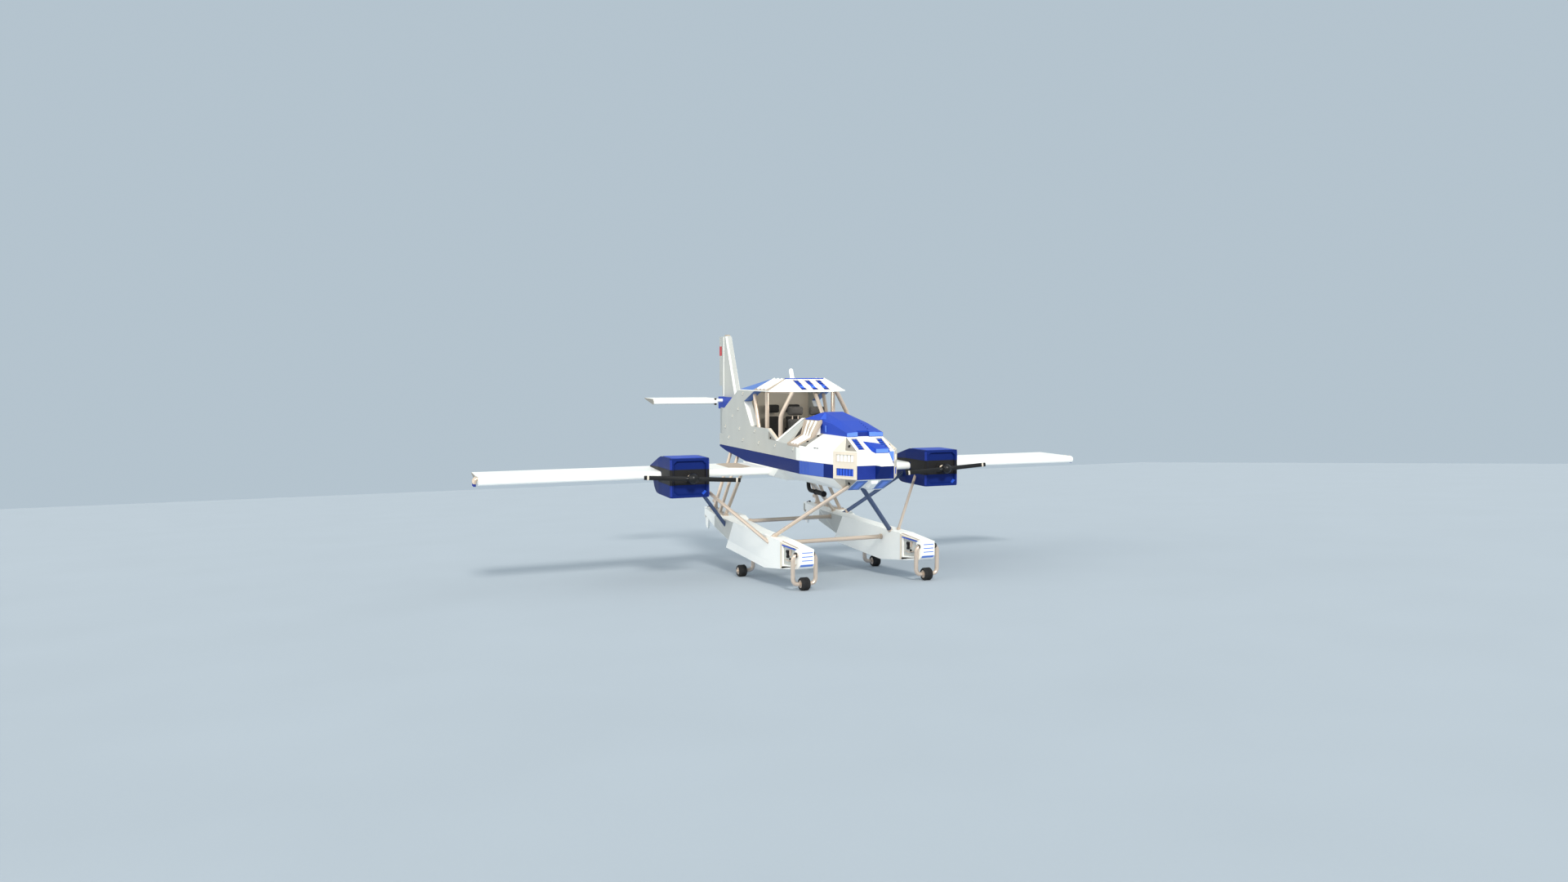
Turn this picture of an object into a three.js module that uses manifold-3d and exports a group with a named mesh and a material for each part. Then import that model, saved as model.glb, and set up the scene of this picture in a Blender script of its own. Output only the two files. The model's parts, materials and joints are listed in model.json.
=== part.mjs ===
// Twin-engined amphibious floatplane, built in millimetres.
// Airframe axes: +X forward, +Y to port, +Z up, origin on the wing's leading edge at the centre plane.
// The finished airframe is turned and lifted so that its four wheels stand on Z = 0.
import * as THREE from 'three';
import { ConvexGeometry } from 'three/addons/geometries/ConvexGeometry.js';
import { mergeVertices } from 'three/addons/utils/BufferGeometryUtils.js';
import Module from 'manifold-3d';

const wasm = await Module();
wasm.setup();

// Driving sizes
const GAP = 0.3; // between pieces that touch
const FIT = 0.5; // running clearance at pins and shafts
const BODY = { half: 840, wall: 45, pillar: 170, skin: 35 };
const BAND = { low: 90, high: 330, floor: 60 }; // blue band round the body
const BELLY = -140;
const SHOULDER = 800; // where the nose's slanted panels meet the hood
const WING = { semiSpan: 6250, chord: 1190, radius: 70, top: 75, tail: 50, skin: 22, tipWall: 30 };
const NACELLE = { y: 2610, half: 370, front: 620, top: 355, bottom: -360, chamfer: 35 };
const ENGINE = { back: 30, front: 500, half: 295, low: -290, high: 285 };
const PROP = { hubX: 800, ball: 100, root: 55, tip: 905, shaft: 52, dip: 3.5 };
const FLOAT = { y: 1170, half: 280, bowHalf: 269, deck: -1000 };
const WHEEL = { radius: 112, width: 160, bore: 27, axle: 26.4 };
const FRONT_WHEEL = { x: 2551, y: 1187, z: -1681 };
const REAR_WHEEL = { x: 55, y: 1426, z: -1880 };
const GEAR_TUBE = 38;
const ROOF = { low: 1530, rim: 1548, high: 1770 };
const POST = { y: 709, radius: 42, foot: 150.3, head: 1568 };
const LOUVRE = { half: 60, pitch: 238, depth: 18 };
const FIN = { low: 1305 + GAP, high: 2740, half: 75, edge: 45, skin: 16 };
const RUDDER = { x: -5010, pin: 18 };
const STAB = { x: -4900, z: 1220, tube: 40, root: 440, tip: 1930 };
const TILLER = { x: -2680, pin: 21, high: -990, low: -1198 };
const SIDES = [['port', 1], ['starboard', -1]];

// Geometry helpers
function toSolid(geometry) {
  const bare = new THREE.BufferGeometry();
  bare.setAttribute('position', geometry.getAttribute('position').clone());
  if (geometry.index) bare.setIndex(geometry.index.clone());
  const merged = mergeVertices(bare, 1e-3);
  const mesh = new wasm.Mesh({
    numProp: 3,
    vertProperties: new Float32Array(merged.getAttribute('position').array),
    triVerts: new Uint32Array(merged.index.array),
  });
  return new wasm.Manifold(mesh);
}

function toGeometry(solid) {
  const mesh = solid.getMesh();
  const geometry = new THREE.BufferGeometry();
  const count = mesh.vertProperties.length / mesh.numProp;
  const positions = new Float32Array(count * 3);
  for (let i = 0; i < count; i += 1) {
    for (let k = 0; k < 3; k += 1) positions[3 * i + k] = mesh.vertProperties[mesh.numProp * i + k];
  }
  geometry.setAttribute('position', new THREE.BufferAttribute(positions, 3));
  geometry.setIndex(Array.from(mesh.triVerts));
  return geometry;
}

function moved(solid, shift) {
  return toSolid(toGeometry(solid).translate(...shift));
}

// The same piece on the other side of the centre plane.
function mirrored(solid) {
  const geometry = toGeometry(solid).scale(1, -1, 1);
  const index = geometry.index.array;
  for (let i = 0; i < index.length; i += 3) [index[i], index[i + 1]] = [index[i + 1], index[i]];
  return toSolid(geometry);
}

function joined(...solids) {
  return solids.reduce((total, next) => total.add(next));
}

function withBothSides(solid) {
  return joined(solid, mirrored(solid));
}

// Cuts a piece back from its neighbours and leaves a small gap all round.
function cleared(solid, neighbours) {
  let result = solid.subtract(neighbours);
  for (const step of [GAP, -GAP]) {
    for (const shift of [[step, 0, 0], [0, step, 0], [0, 0, step]]) {
      result = result.subtract(moved(neighbours, shift));
    }
  }
  return result;
}

function hull(points) {
  return toSolid(new ConvexGeometry(points.map((p) => new THREE.Vector3(...p))));
}

// A convex block that is the same on both sides of the centre plane.
function mirroredHull(points) {
  return hull([...points, ...points.map(([x, y, z]) => [x, -y, z])]);
}

function box(low, high) {
  const geometry = new THREE.BoxGeometry(high[0] - low[0], high[1] - low[1], high[2] - low[2]);
  geometry.translate((low[0] + high[0]) / 2, (low[1] + high[1]) / 2, (low[2] + high[2]) / 2);
  return toSolid(geometry);
}

// Flat sheet on its corners, given counter-clockwise as seen from outside, thickened inwards.
function sheet(corners, thickness) {
  const [a, b, c] = corners.map((p) => new THREE.Vector3(...p));
  const inward = b.clone().sub(a).cross(c.clone().sub(a)).normalize().multiplyScalar(-thickness);
  return hull([...corners, ...corners.map((p) => new THREE.Vector3(...p).add(inward).toArray())]);
}

// Block round a centre, with its length along one direction and its width across it.
function slantedBox(centre, along, across, [length, width, height]) {
  const u = new THREE.Vector3(...along).normalize();
  const v = new THREE.Vector3(...across).normalize();
  const w = u.clone().cross(v);
  const points = [];
  for (const i of [-0.5, 0.5]) {
    for (const j of [-0.5, 0.5]) {
      for (const k of [-0.5, 0.5]) {
        const point = new THREE.Vector3(...centre).addScaledVector(u, i * length);
        point.addScaledVector(v, j * width).addScaledVector(w, k * height);
        points.push(point.toArray());
      }
    }
  }
  return hull(points);
}

// Side profile in X and Z, extruded from y0 to y1.
function sideSlab(profile, y0, y1) {
  const shape = new THREE.Shape(profile.map(([x, z]) => new THREE.Vector2(x, z)));
  const geometry = new THREE.ExtrudeGeometry(shape, { depth: y1 - y0, bevelEnabled: false });
  geometry.rotateX(Math.PI / 2);
  geometry.translate(0, y1, 0);
  return toSolid(geometry);
}

// Plan outline in X and Y, extruded from z0 to z1.
function planSlab(outline, z0, z1) {
  const shape = new THREE.Shape(outline.map(([x, y]) => new THREE.Vector2(x, y)));
  const geometry = new THREE.ExtrudeGeometry(shape, { depth: z1 - z0, bevelEnabled: false });
  geometry.translate(0, 0, z0);
  return toSolid(geometry);
}

// Straight round bar between two points.
function bar(from, to, radius, sides = 16) {
  const a = new THREE.Vector3(...from);
  const b = new THREE.Vector3(...to);
  const geometry = new THREE.CylinderGeometry(radius, radius, a.distanceTo(b), sides);
  const direction = b.clone().sub(a).normalize();
  geometry.applyQuaternion(new THREE.Quaternion().setFromUnitVectors(new THREE.Vector3(0, 1, 0), direction));
  const middle = a.clone().add(b).multiplyScalar(0.5);
  geometry.translate(middle.x, middle.y, middle.z);
  return toSolid(geometry);
}

// Round tube through corner points, with each corner rounded off by the bend length.
function tube(points, bend, radius, steps = 24) {
  const corners = points.map((p) => new THREE.Vector3(...p));
  const path = new THREE.CurvePath();
  let last = corners[0];
  for (let i = 1; i < corners.length - 1; i += 1) {
    const corner = corners[i];
    const before = corner.clone().add(corners[i - 1].clone().sub(corner).setLength(bend));
    const after = corner.clone().add(corners[i + 1].clone().sub(corner).setLength(bend));
    path.add(new THREE.LineCurve3(last, before));
    path.add(new THREE.QuadraticBezierCurve3(before, corner, after));
    last = after;
  }
  path.add(new THREE.LineCurve3(last, corners[corners.length - 1]));
  const circle = new THREE.Shape();
  circle.absarc(0, 0, radius, 0, Math.PI * 2, false);
  const settings = { steps, curveSegments: 7, extrudePath: path, bevelEnabled: false };
  return toSolid(new THREE.ExtrudeGeometry(circle, settings));
}

function ball(centre, radius, sides = 20) {
  const geometry = new THREE.SphereGeometry(radius, sides, sides / 2);
  geometry.rotateX(Math.PI / 2);
  geometry.translate(...centre);
  return toSolid(geometry);
}

// The airframe group and its paints
const airframe = new THREE.Group();
airframe.name = 'airframe';

const PAINT = {
  white: { color: 0xf7f6ee, roughness: 0.45, metalness: 0 },
  blue: { color: 0x1f49b5, roughness: 0.4, metalness: 0 },
  beige: { color: 0xcdbdaa, roughness: 0.45, metalness: 0.2 },
  cream: { color: 0xd8d1c0, roughness: 0.6, metalness: 0 },
  charcoal: { color: 0x262524, roughness: 0.5, metalness: 0 },
  black: { color: 0x151515, roughness: 0.4, metalness: 0 },
  seat: { color: 0x33302c, roughness: 0.85, metalness: 0 },
  iron: { color: 0x5a5a5a, roughness: 0.6, metalness: 0.6 },
};

function addPart(name, solid, paint, at = [0, 0, 0]) {
  const mesh = new THREE.Mesh(toGeometry(solid), new THREE.MeshStandardMaterial(PAINT[paint]));
  mesh.name = name;
  mesh.position.set(...at);
  airframe.add(mesh);
}

// Nose outline seen from above: the sides taper to two corner facets and a flat front.
const NOSE = { taperX: 1490, cornerX: 2465, cornerY: 612, frontX: 2870, frontY: 350, ridgeX: 3070, ridgeY: 250 };
const NOSE_TOP = { backX: 1430, frontX: 2430, y: 350 };
const NOTCH = { x: 2560, y: 430, far: 700 }; // concave corner between the slanted panels
const SIDE_TOP = 590;
const FRONT_TOP = 570;
const WEDGE_TOP = 545;
const CAB_FRONT = 1350;

// Three pockets side by side in a slope that runs fore and aft, one for each louvred window.
function louvrePockets(centre, along, length) {
  const pockets = [-1, 0, 1].map((place) => slantedBox(
    [centre[0], centre[1] + place * LOUVRE.pitch, centre[2]],
    along,
    [0, 1, 0],
    [length, 2 * LOUVRE.half, 2 * LOUVRE.depth],
  ));
  return joined(...pockets);
}

// A vent pocket in a corner facet of the nose, between two heights.
function cornerPocket(side, low, high) {
  const along = [NOSE.cornerX - NOSE.frontX, side * (NOSE.cornerY - NOSE.frontY), 0];
  const middle = [(NOSE.cornerX + NOSE.frontX) / 2, (side * (NOSE.cornerY + NOSE.frontY)) / 2, (low + high) / 2];
  return slantedBox(middle, along, [0, 0, 1], [350, high - low, 30]);
}

// What is cut from a slanted corner of the nose so that its two faces meet in a concave corner.
function cornerNotch(level, tip) {
  const rise = tip - level;
  return mirroredCorner([
    [NOSE_TOP.frontX, NOSE_TOP.y, tip], [NOTCH.x, NOTCH.y, level], [NOSE.cornerX, NOSE.cornerY, level],
    [NOSE.frontX, NOSE.frontY, level], [NOTCH.far * 4, NOTCH.far, level], [NOTCH.far * 4, NOTCH.far, level + rise],
  ]);
}

function mirroredCorner(points) {
  return withBothSides(hull(points));
}

// The offset block on the front's port half, whose ridge lies on the band's top edge.
const noseWedge = hull([0, NOSE.ridgeY].flatMap((y) => [
  [NOSE.frontX - 5, y, BAND.low], [NOSE.frontX - 5, y, WEDGE_TOP],
  [NOSE.frontX, y, BAND.low], [NOSE.frontX, y, WEDGE_TOP], [NOSE.ridgeX, y, BAND.high],
]));

// Body band, keel, cabin tub, nose
const bandPlan = [
  [-2980, -BODY.half], [NOSE.taperX, -BODY.half], [NOSE.cornerX, -NOSE.cornerY], [NOSE.frontX, -NOSE.frontY],
  [NOSE.frontX, NOSE.frontY], [NOSE.cornerX, NOSE.cornerY], [NOSE.taperX, BODY.half], [-2980, BODY.half],
];
// The band's underside rises towards the tail, and its tail end is cut on the slant.
const bandSide = [
  [-2980, BAND.high], [-2980, 290], [-2560, 215], [-1300, BAND.low], [NOSE.frontX, BAND.low], [NOSE.frontX, BAND.high],
];
const innerHalf = BODY.half - BODY.wall;
const floorTop = BAND.low + BAND.floor;
const bandHollow = sideSlab([
  [-2900, BAND.high + 10], [-2900, 312], [-2560, 252], [-1400, floorTop], [CAB_FRONT, floorTop],
  [CAB_FRONT, BAND.high + 10],
], -innerHalf, innerHalf);
const lowerVents = joined(cornerPocket(1, 145, 280), cornerPocket(-1, 145, 280));
const band = planSlab(bandPlan, BAND.low, BAND.high)
  .intersect(sideSlab(bandSide, -1000, 1000))
  .subtract(bandHollow)
  .subtract(lowerVents)
  .add(noseWedge.intersect(box([2000, -500, 0], [3500, 500, BAND.high])));
addPart('body_band', band, 'blue');

const keelTop = BAND.low - GAP;
const keel = joined(
  mirroredHull([
    [-1500, BODY.half, keelTop], [480, BODY.half, keelTop], [-1300, BODY.half, -70], [240, BODY.half, -70],
    [-1250, 600, -150], [300, 600, -150], [-1500, 600, keelTop], [480, 600, keelTop],
  ]),
  mirroredHull([
    [480, BODY.half, keelTop], [NOSE.taperX, BODY.half, keelTop], [NOSE.cornerX, NOSE.cornerY, keelTop],
    [NOSE.frontX, NOSE.frontY, keelTop], [300, 420, BELLY], [NOSE_TOP.backX, 360, BELLY],
    [NOSE_TOP.frontX, NOSE_TOP.y, BELLY],
  ]).subtract(cornerNotch(keelTop, BELLY)),
);
addPart('keel_fairing', keel, 'white');

// Bent panels between the hood's sides and the body's sides: each row is a line from rear to front.
const SHOULDER_LINES = {
  top: [[951, -495, 1039], [1430, -365, 1039]],
  topInside: [[951, -464, 1039], [1430, -330, 1039]],
  bend: [[942, -565, 750], [1460, -552, 722]],
  bendInside: [[942, -539, 730], [1460, -531, 698]],
  foot: [[932, -BODY.half, 598], [NOSE.taperX, -BODY.half, 596]],
  footInside: [[932, -BODY.half, 564], [NOSE.taperX, -BODY.half, 563]],
};
const { top, topInside, bend, bendInside, foot, footInside } = SHOULDER_LINES;
const shoulderPanel = joined(
  hull([...top, ...topInside, ...bend, ...bendInside]),
  hull([...bend, ...bendInside, ...foot, ...footInside]),
);
const shoulderPanels = withBothSides(shoulderPanel);

const tubFront = CAB_FRONT - GAP;
const tubSide = [
  [-2980, BAND.high + GAP], [tubFront, BAND.high + GAP], [tubFront, SIDE_TOP], [400, 604], [-100, 820], [-1000, 820],
  [-1425, 1310], [-830, ROOF.low - GAP], [-1790, ROOF.low - GAP], [-2640, 1140], [-2800, 1080], [-2800, 570],
  [-2980, 570],
];
const hollowLow = 300;
const tubHollow = joined(
  sideSlab([[-1000, hollowLow], [1400, hollowLow], [1400, 1700], [-1000, 1700]], -innerHalf, innerHalf),
  sideSlab(
    [[-1640, hollowLow], [-999, hollowLow], [-999, 1700], [-1640, 1700]],
    -BODY.half + BODY.pillar,
    BODY.half - BODY.pillar,
  ),
  sideSlab(
    [[-2765, hollowLow], [-1639, hollowLow], [-1639, 1450], [-1830, 1465], [-2620, 1095], [-2765, 1050]],
    -BODY.half + BODY.skin,
    BODY.half - BODY.skin,
  ),
);
// The thick columns beside the rear wall are hollow, open to the space behind that wall.
const columnHollow = sideSlab(
  [[-1700, hollowLow], [-1080, hollowLow], [-1080, 770], [-1470, 1260], [-1470, 1450], [-1700, 1450]],
  BODY.half - BODY.pillar + BODY.skin,
  BODY.half - BODY.skin,
);
// Triangular gussets rise from the sill to the hood's rear corners.
const gusset = sheet([[420, -BODY.half, 600], [930, -BODY.half, SIDE_TOP - 5], [950, -497, 1054]], BODY.wall);
const tub = sideSlab(tubSide, -BODY.half, BODY.half)
  .subtract(tubHollow)
  .subtract(withBothSides(columnHollow))
  .add(withBothSides(gusset));
addPart('cabin_tub', cleared(tub, shoulderPanels), 'white');

const noseLow = BAND.high + GAP;
const slopeAlong = [NOSE.frontX - NOSE_TOP.frontX, 0, FRONT_TOP - SHOULDER];
const nose = mirroredHull([
  [CAB_FRONT, BODY.half, noseLow], [NOSE.taperX, BODY.half, noseLow], [NOSE.cornerX, NOSE.cornerY, noseLow],
  [NOSE.frontX, NOSE.frontY, noseLow], [CAB_FRONT, BODY.half, SIDE_TOP], [NOSE.taperX, BODY.half, SIDE_TOP],
  [NOSE.cornerX, NOSE.cornerY, FRONT_TOP], [NOSE.frontX, NOSE.frontY, FRONT_TOP],
  [CAB_FRONT, 365, SHOULDER], [NOSE_TOP.backX, 360, SHOULDER], [NOSE_TOP.frontX, NOSE_TOP.y, SHOULDER],
]).subtract(cornerNotch(FRONT_TOP, SHOULDER));
const cowlBase = mirroredHull([
  [970, 525, 740], [970, 455, 1039], [970, 525, 700], [CAB_FRONT + 1, 505, 695], [CAB_FRONT + 1, 330, 1039],
  [CAB_FRONT + 1, 505, 640], [CAB_FRONT + 1, 320, 640],
]);

const hoodLow = 1040 + GAP;
const hoodFront = { x: 2450, y: 350, top: 880 };
const hood = joined(
  mirroredHull([
    [960, 497, hoodLow], [960, 497, 1052], [960, 180, 1155], [1150, 182, 1179], [1352, 400, hoodLow],
    [1352, 385, 1050],
  ]),
  mirroredHull([
    [1352, 360, SHOULDER + GAP], [1352, 360, hoodLow], [1150, 182, 1179], [1820, 355, 1000],
    [hoodFront.x, hoodFront.y, hoodFront.top - 15], [hoodFront.x, hoodFront.y, SHOULDER + GAP],
    [1820, 180, 1045], [hoodFront.x, 180, hoodFront.top],
  ]),
).subtract(joined(
  box([900, -900, 500], [1351, 900, 1040]),
  box([hoodFront.x - 70, -140, SHOULDER - 50], [hoodFront.x + 10, 80, hoodFront.top + 50]),
));
const hoodBlock = cleared(hood, joined(nose, cowlBase, shoulderPanels));
addPart('nose_hood', hoodBlock, 'blue');

// A flat duct lies over the middle window and ends in a square face at the nose's front.
const duct = hull([
  [2545, -115, 735], [2545, -115, 728], [2640, 170, 690], [2640, 200, 680], [NOSE.frontX, -77, FRONT_TOP],
  [NOSE.frontX, 270, FRONT_TOP], [NOSE.frontX + 15, -10, 618], [NOSE.frontX + 15, 240, 618],
  [NOSE.frontX + 15, -10, WEDGE_TOP - 5], [NOSE.frontX + 15, 240, WEDGE_TOP - 5],
]);
addPart('nose_duct', cleared(duct, joined(nose, noseWedge, hoodBlock)), 'blue');

const noseBlock = joined(nose, cowlBase)
  .subtract(louvrePockets([2657, 0, 680], slopeAlong, 378))
  .subtract(joined(cornerPocket(1, 390, 515), cornerPocket(-1, 390, 515)))
  .add(noseWedge.intersect(box([2000, -500, noseLow], [3500, 500, 900])));
addPart('nose_block', cleared(noseBlock, shoulderPanels), 'white');

// Canopy: roof, posts, rear wall, instrument panel
const roofAlong = [-595, 0, 222];
const roof = mirroredHull([
  [-1760, 820, ROOF.low], [-90, 814, ROOF.low], [390, 346, ROOF.low],
  [-1760, 820, ROOF.rim], [-90, 814, ROOF.rim], [390, 346, ROOF.rim],
  [-920, 410, ROOF.high], [-205, 405, ROOF.high],
]).subtract(mirroredHull([
  [-1640, 760, ROOF.low - 1], [-110, 765, ROOF.low - 1], [345, 320, ROOF.low - 1],
  [-900, 370, ROOF.high - 35], [-215, 365, ROOF.high - 35],
])).subtract(louvrePockets([93, 0, 1659], roofAlong, 530));
const antenna = joined(bar([-850, 0, ROOF.high - 30], [-935, 0, 1935], 42, 20), ball([-935, 0, 1935], 42));
addPart('canopy_roof', joined(roof, antenna), 'white');

const bulkhead = box([-1636, -BODY.half + BODY.pillar + GAP, 200], [-1600, BODY.half - BODY.pillar - GAP, 1480]);
addPart('rear_bulkhead', cleared(bulkhead, joined(band, tub, roof)), 'cream');

const panel = box([935, -440, 690], [969, 440, 1039]);
addPart('instrument_panel', cleared(panel, joined(nose, cowlBase, hoodBlock, tub)), 'charcoal');

// Each side's upright post and its bent front post are joined by a thin rail under the roof's edge.
const FRAME = { sideX: -437, frontX: 272, kneeZ: 1080, headY: 462, headZ: 1527, railZ: 1514, rail: 14 };
const sideFrame = joined(
  bar([FRAME.sideX, POST.y, POST.foot], [FRAME.sideX, POST.y, POST.head], POST.radius),
  tube(
    [[FRAME.frontX, POST.y, POST.foot], [FRAME.frontX, POST.y, FRAME.kneeZ], [FRAME.frontX, FRAME.headY, FRAME.headZ]],
    60,
    POST.radius,
    14,
  ).subtract(box([100, 300, ROOF.low - GAP], [500, 700, ROOF.high])),
  bar([FRAME.sideX, POST.y, FRAME.railZ], [FRAME.frontX, FRAME.headY + 7, FRAME.railZ], FRAME.rail, 10),
);
const rearPost = bar([-502, 757, POST.foot + 5], [-1035, 757, 1515], POST.radius - 4);
const postStops = joined(tub, roof, band);
for (const [tag, side] of SIDES) {
  const own = (solid) => (side > 0 ? solid : mirrored(solid));
  addPart(`canopy_frame_${tag}`, own(cleared(sideFrame, postStops)), 'beige');
  addPart(`rear_post_${tag}`, own(cleared(rearPost, postStops)), 'beige');
  addPart(`shoulder_panel_${tag}`, side < 0 ? shoulderPanel : mirrored(shoulderPanel), 'beige');
}
const centreStrut = bar([262, 0, 1528], [990, 0, 737], POST.radius - 2);
addPart('centre_strut', cleared(centreStrut, joined(roof, panel)).intersect(box([0, -90, 0], [934, 90, 1700])), 'beige');

// Seats
const SEAT = { width: 330, floor: floorTop + GAP, frontX: -70, rearX: -1330, y: 230 };
function makeSeat() {
  const half = SEAT.width / 2;
  const base = mirroredHull([
    [-40, half * 0.7, SEAT.floor], [330, half * 0.7, SEAT.floor], [-80, half * 0.9, 470], [390, half * 0.9, 470],
  ]);
  const cushion = box([-60, -half, 440], [420, half, 580]);
  const back = mirroredHull([[-70, half, 480], [60, half, 480], [-130, half, 1010], [-30, half, 1010]]);
  const rest = box([-140, -half * 0.95, 1060], [-30, half * 0.95, 1240]);
  const pins = withBothSides(bar([-82, -60, 990], [-85, -60, 1080], 9, 12));
  return joined(base, cushion, back, rest, pins);
}
const seat = makeSeat();
for (const [row, x] of [['front', SEAT.frontX], ['rear', SEAT.rearX]]) {
  addPart(`seat_${row}_s`, seat, 'seat', [x, -SEAT.y, 0]);
  addPart(`seat_${row}_p`, seat, 'seat', [x, SEAT.y, 0]);
}

// Tail: cone, spine, fin, rudder, stabilator
const coneOuter = mirroredHull([
  [-2800 - GAP, 760, 570 + GAP], [-2800 - GAP, 760, 1040], [-2980 - GAP, 720, 330], [-2980 - GAP, 720, 570],
  [-2800 - GAP, 680, 1080], [-5200, 80, 450], [-5200, 80, 1050 - GAP], [-2800 - GAP, 600, 1080],
]);
const coneInner = mirroredHull([
  [-2700, 760, 590], [-2700, 760, 1025], [-2950, 700, 357], [-5130, 72, 474], [-5130, 72, 1024], [-2700, 620, 1056],
]);
const behindBody = box([-2980 - GAP, -900, 300], [-2700, 900, 570 + GAP]);
addPart('tail_cone', coneOuter.subtract(coneInner).subtract(behindBody), 'white');

const spineBlock = mirroredHull([
  [-2500, 140, 1100], [-2800, 240, 1010], [-2800, 240, 1305], [-5250, 110, 1020], [-5250, 110, 1305],
  [-2250, 120, 1305],
]);
const spineHollow = mirroredHull([
  [-2900, 205, 900], [-2900, 205, 1280], [-4650, 105, 900], [-4650, 105, 1280],
]);
const spine = cleared(spineBlock, joined(sideSlab(tubSide, -BODY.half, BODY.half), coneOuter)).subtract(joined(
  spineHollow,
  bar([STAB.x, -500, STAB.z], [STAB.x, 500, STAB.z], STAB.tube + FIT + 0.2, 48),
  bar([RUDDER.x, 0, 1230], [RUDDER.x, 0, 1400], RUDDER.pin + FIT, 48),
));
addPart('tail_spine', spine, 'blue');

// The fin, or with an inset the hollow inside it. Its leading edge is a flat band.
function finBlock(inset, low) {
  const half = FIN.half - inset;
  const edge = FIN.edge - inset;
  const top = FIN.high - inset;
  return mirroredHull([
    [-4965 + inset, half, low], [-4135 - inset, half, low], [-4065 - inset, edge, low],
    [-4965 + inset, half * 0.92, top], [-4815 - inset, half * 0.92, top], [-4745 - inset, edge, top],
  ]);
}
addPart('fin', finBlock(0, FIN.low).subtract(finBlock(FIN.skin, FIN.low - 1)), 'white');

const rudder = joined(
  mirroredHull([
    [RUDDER.x + 15, 30, 1560], [-5430, 14, 1560], [RUDDER.x + 15, 30, FIN.high - 10],
    [RUDDER.x - 60, 42, 1560], [RUDDER.x - 60, 42, FIN.high - 10], [-5430, 14, FIN.high - 10],
  ]),
  mirroredHull([
    [RUDDER.x + 15, 30, 1330], [RUDDER.x - 60, 42, 1330], [-5190, 30, 1330],
    [RUDDER.x + 15, 30, 1570], [RUDDER.x - 60, 42, 1570], [-5190, 30, 1570],
  ]),
  bar([RUDDER.x, 0, 1235], [RUDDER.x, 0, 1340], RUDDER.pin),
);
addPart('rudder', rudder, 'white');

// One half of the stabilator, or with an inset the hollow inside it.
function stabPanel(inset, root, tip) {
  return hull([root, tip].flatMap((y) => {
    const sweep = y === tip ? 60 : 0;
    return [
      [-4330 - sweep - inset, y, 1180 + inset], [-4330 - sweep - inset, y, 1240 - inset],
      [-4420 - sweep / 2, y, 1150 + inset], [-4420 - sweep / 2, y, 1285 - inset],
      [-5210 + inset * 9, y, 1270 - inset * 0.2], [-5210 + inset * 9, y, 1295 - inset],
    ];
  }));
}
const stabHalf = stabPanel(0, STAB.root, STAB.tip)
  .subtract(stabPanel(16, STAB.root + 30, STAB.tip - 20))
  .subtract(bar([-4560, STAB.root - 10, 1215], [-4560, STAB.root + 60, 1215], 20));
const stabTube = bar([STAB.x, -STAB.root - 29, STAB.z], [STAB.x, STAB.root + 29, STAB.z], STAB.tube, 20);
addPart('stabilator', joined(withBothSides(stabHalf), stabTube), 'white');

// Wings, hollow and open towards the body
function wingSection(inset) {
  const points = [];
  const r = WING.radius - inset;
  for (let i = 0; i <= 8; i += 1) {
    const angle = Math.PI / 2 - (Math.PI * i) / 8;
    points.push([-WING.radius + r * Math.cos(angle), r * Math.sin(angle)]);
  }
  points.push([-WING.chord + inset * 3, WING.tail + inset * 0.2]);
  points.push([-WING.chord + inset * 3, WING.top - inset * 0.2]);
  points.push([-WING.radius * 1.4, WING.top - inset]);
  return points;
}
const wingRoot = BODY.half + GAP;
const wingFull = sideSlab(wingSection(0), wingRoot, WING.semiSpan);
const wingHollow = sideSlab(wingSection(WING.skin), wingRoot - 10, WING.semiSpan - WING.tipWall);
const wing = wingFull.subtract(wingHollow);
addPart('wing_port', wing, 'white');
addPart('wing_starboard', mirrored(wing), 'white');

// Nacelles, engines, propellers
const nacelleSide = [
  [NACELLE.front, NACELLE.bottom], [NACELLE.front, NACELLE.top], [-50, NACELLE.top], [-1090, 95],
  [-1090, -20], [-800, -60], [-730, -170], [-640, -270], [-470, -345], [-380, NACELLE.bottom],
];
const nacelleHalf = NACELLE.half;
const nacelleOuter = sideSlab(nacelleSide, -nacelleHalf, nacelleHalf).intersect(mirroredHull(
  [-400, 400].flatMap((z) => [
    [NACELLE.front, nacelleHalf - NACELLE.chamfer, z], [NACELLE.front - NACELLE.chamfer, nacelleHalf, z],
    [-200, nacelleHalf, z], [-1100, nacelleHalf * 0.8, z],
  ]),
));
const faceRecess = mirroredHull([
  [NACELLE.front - 45, 230, 290], [NACELLE.front - 45, 290, 230], [NACELLE.front - 45, 290, -235],
  [NACELLE.front - 45, 230, -295], [NACELLE.front + 5, 250, 310], [NACELLE.front + 5, 310, 250],
  [NACELLE.front + 5, 310, -255], [NACELLE.front + 5, 250, -315],
]);
const engineBay = box(
  [ENGINE.back - 5, -ENGINE.half - 5, ENGINE.low],
  [ENGINE.front + 5, ENGINE.half + 5, ENGINE.high + 5],
);
const nacelle = nacelleOuter.subtract(joined(
  faceRecess,
  engineBay,
  sideSlab(wingSection(-GAP), -nacelleHalf - 50, nacelleHalf + 50),
  bar([480, 0, 0], [700, 0, 0], PROP.shaft + FIT + 0.2, 48),
));
const engine = box(
  [ENGINE.back, -ENGINE.half, ENGINE.low + GAP],
  [ENGINE.front, ENGINE.half, ENGINE.high],
);

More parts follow.
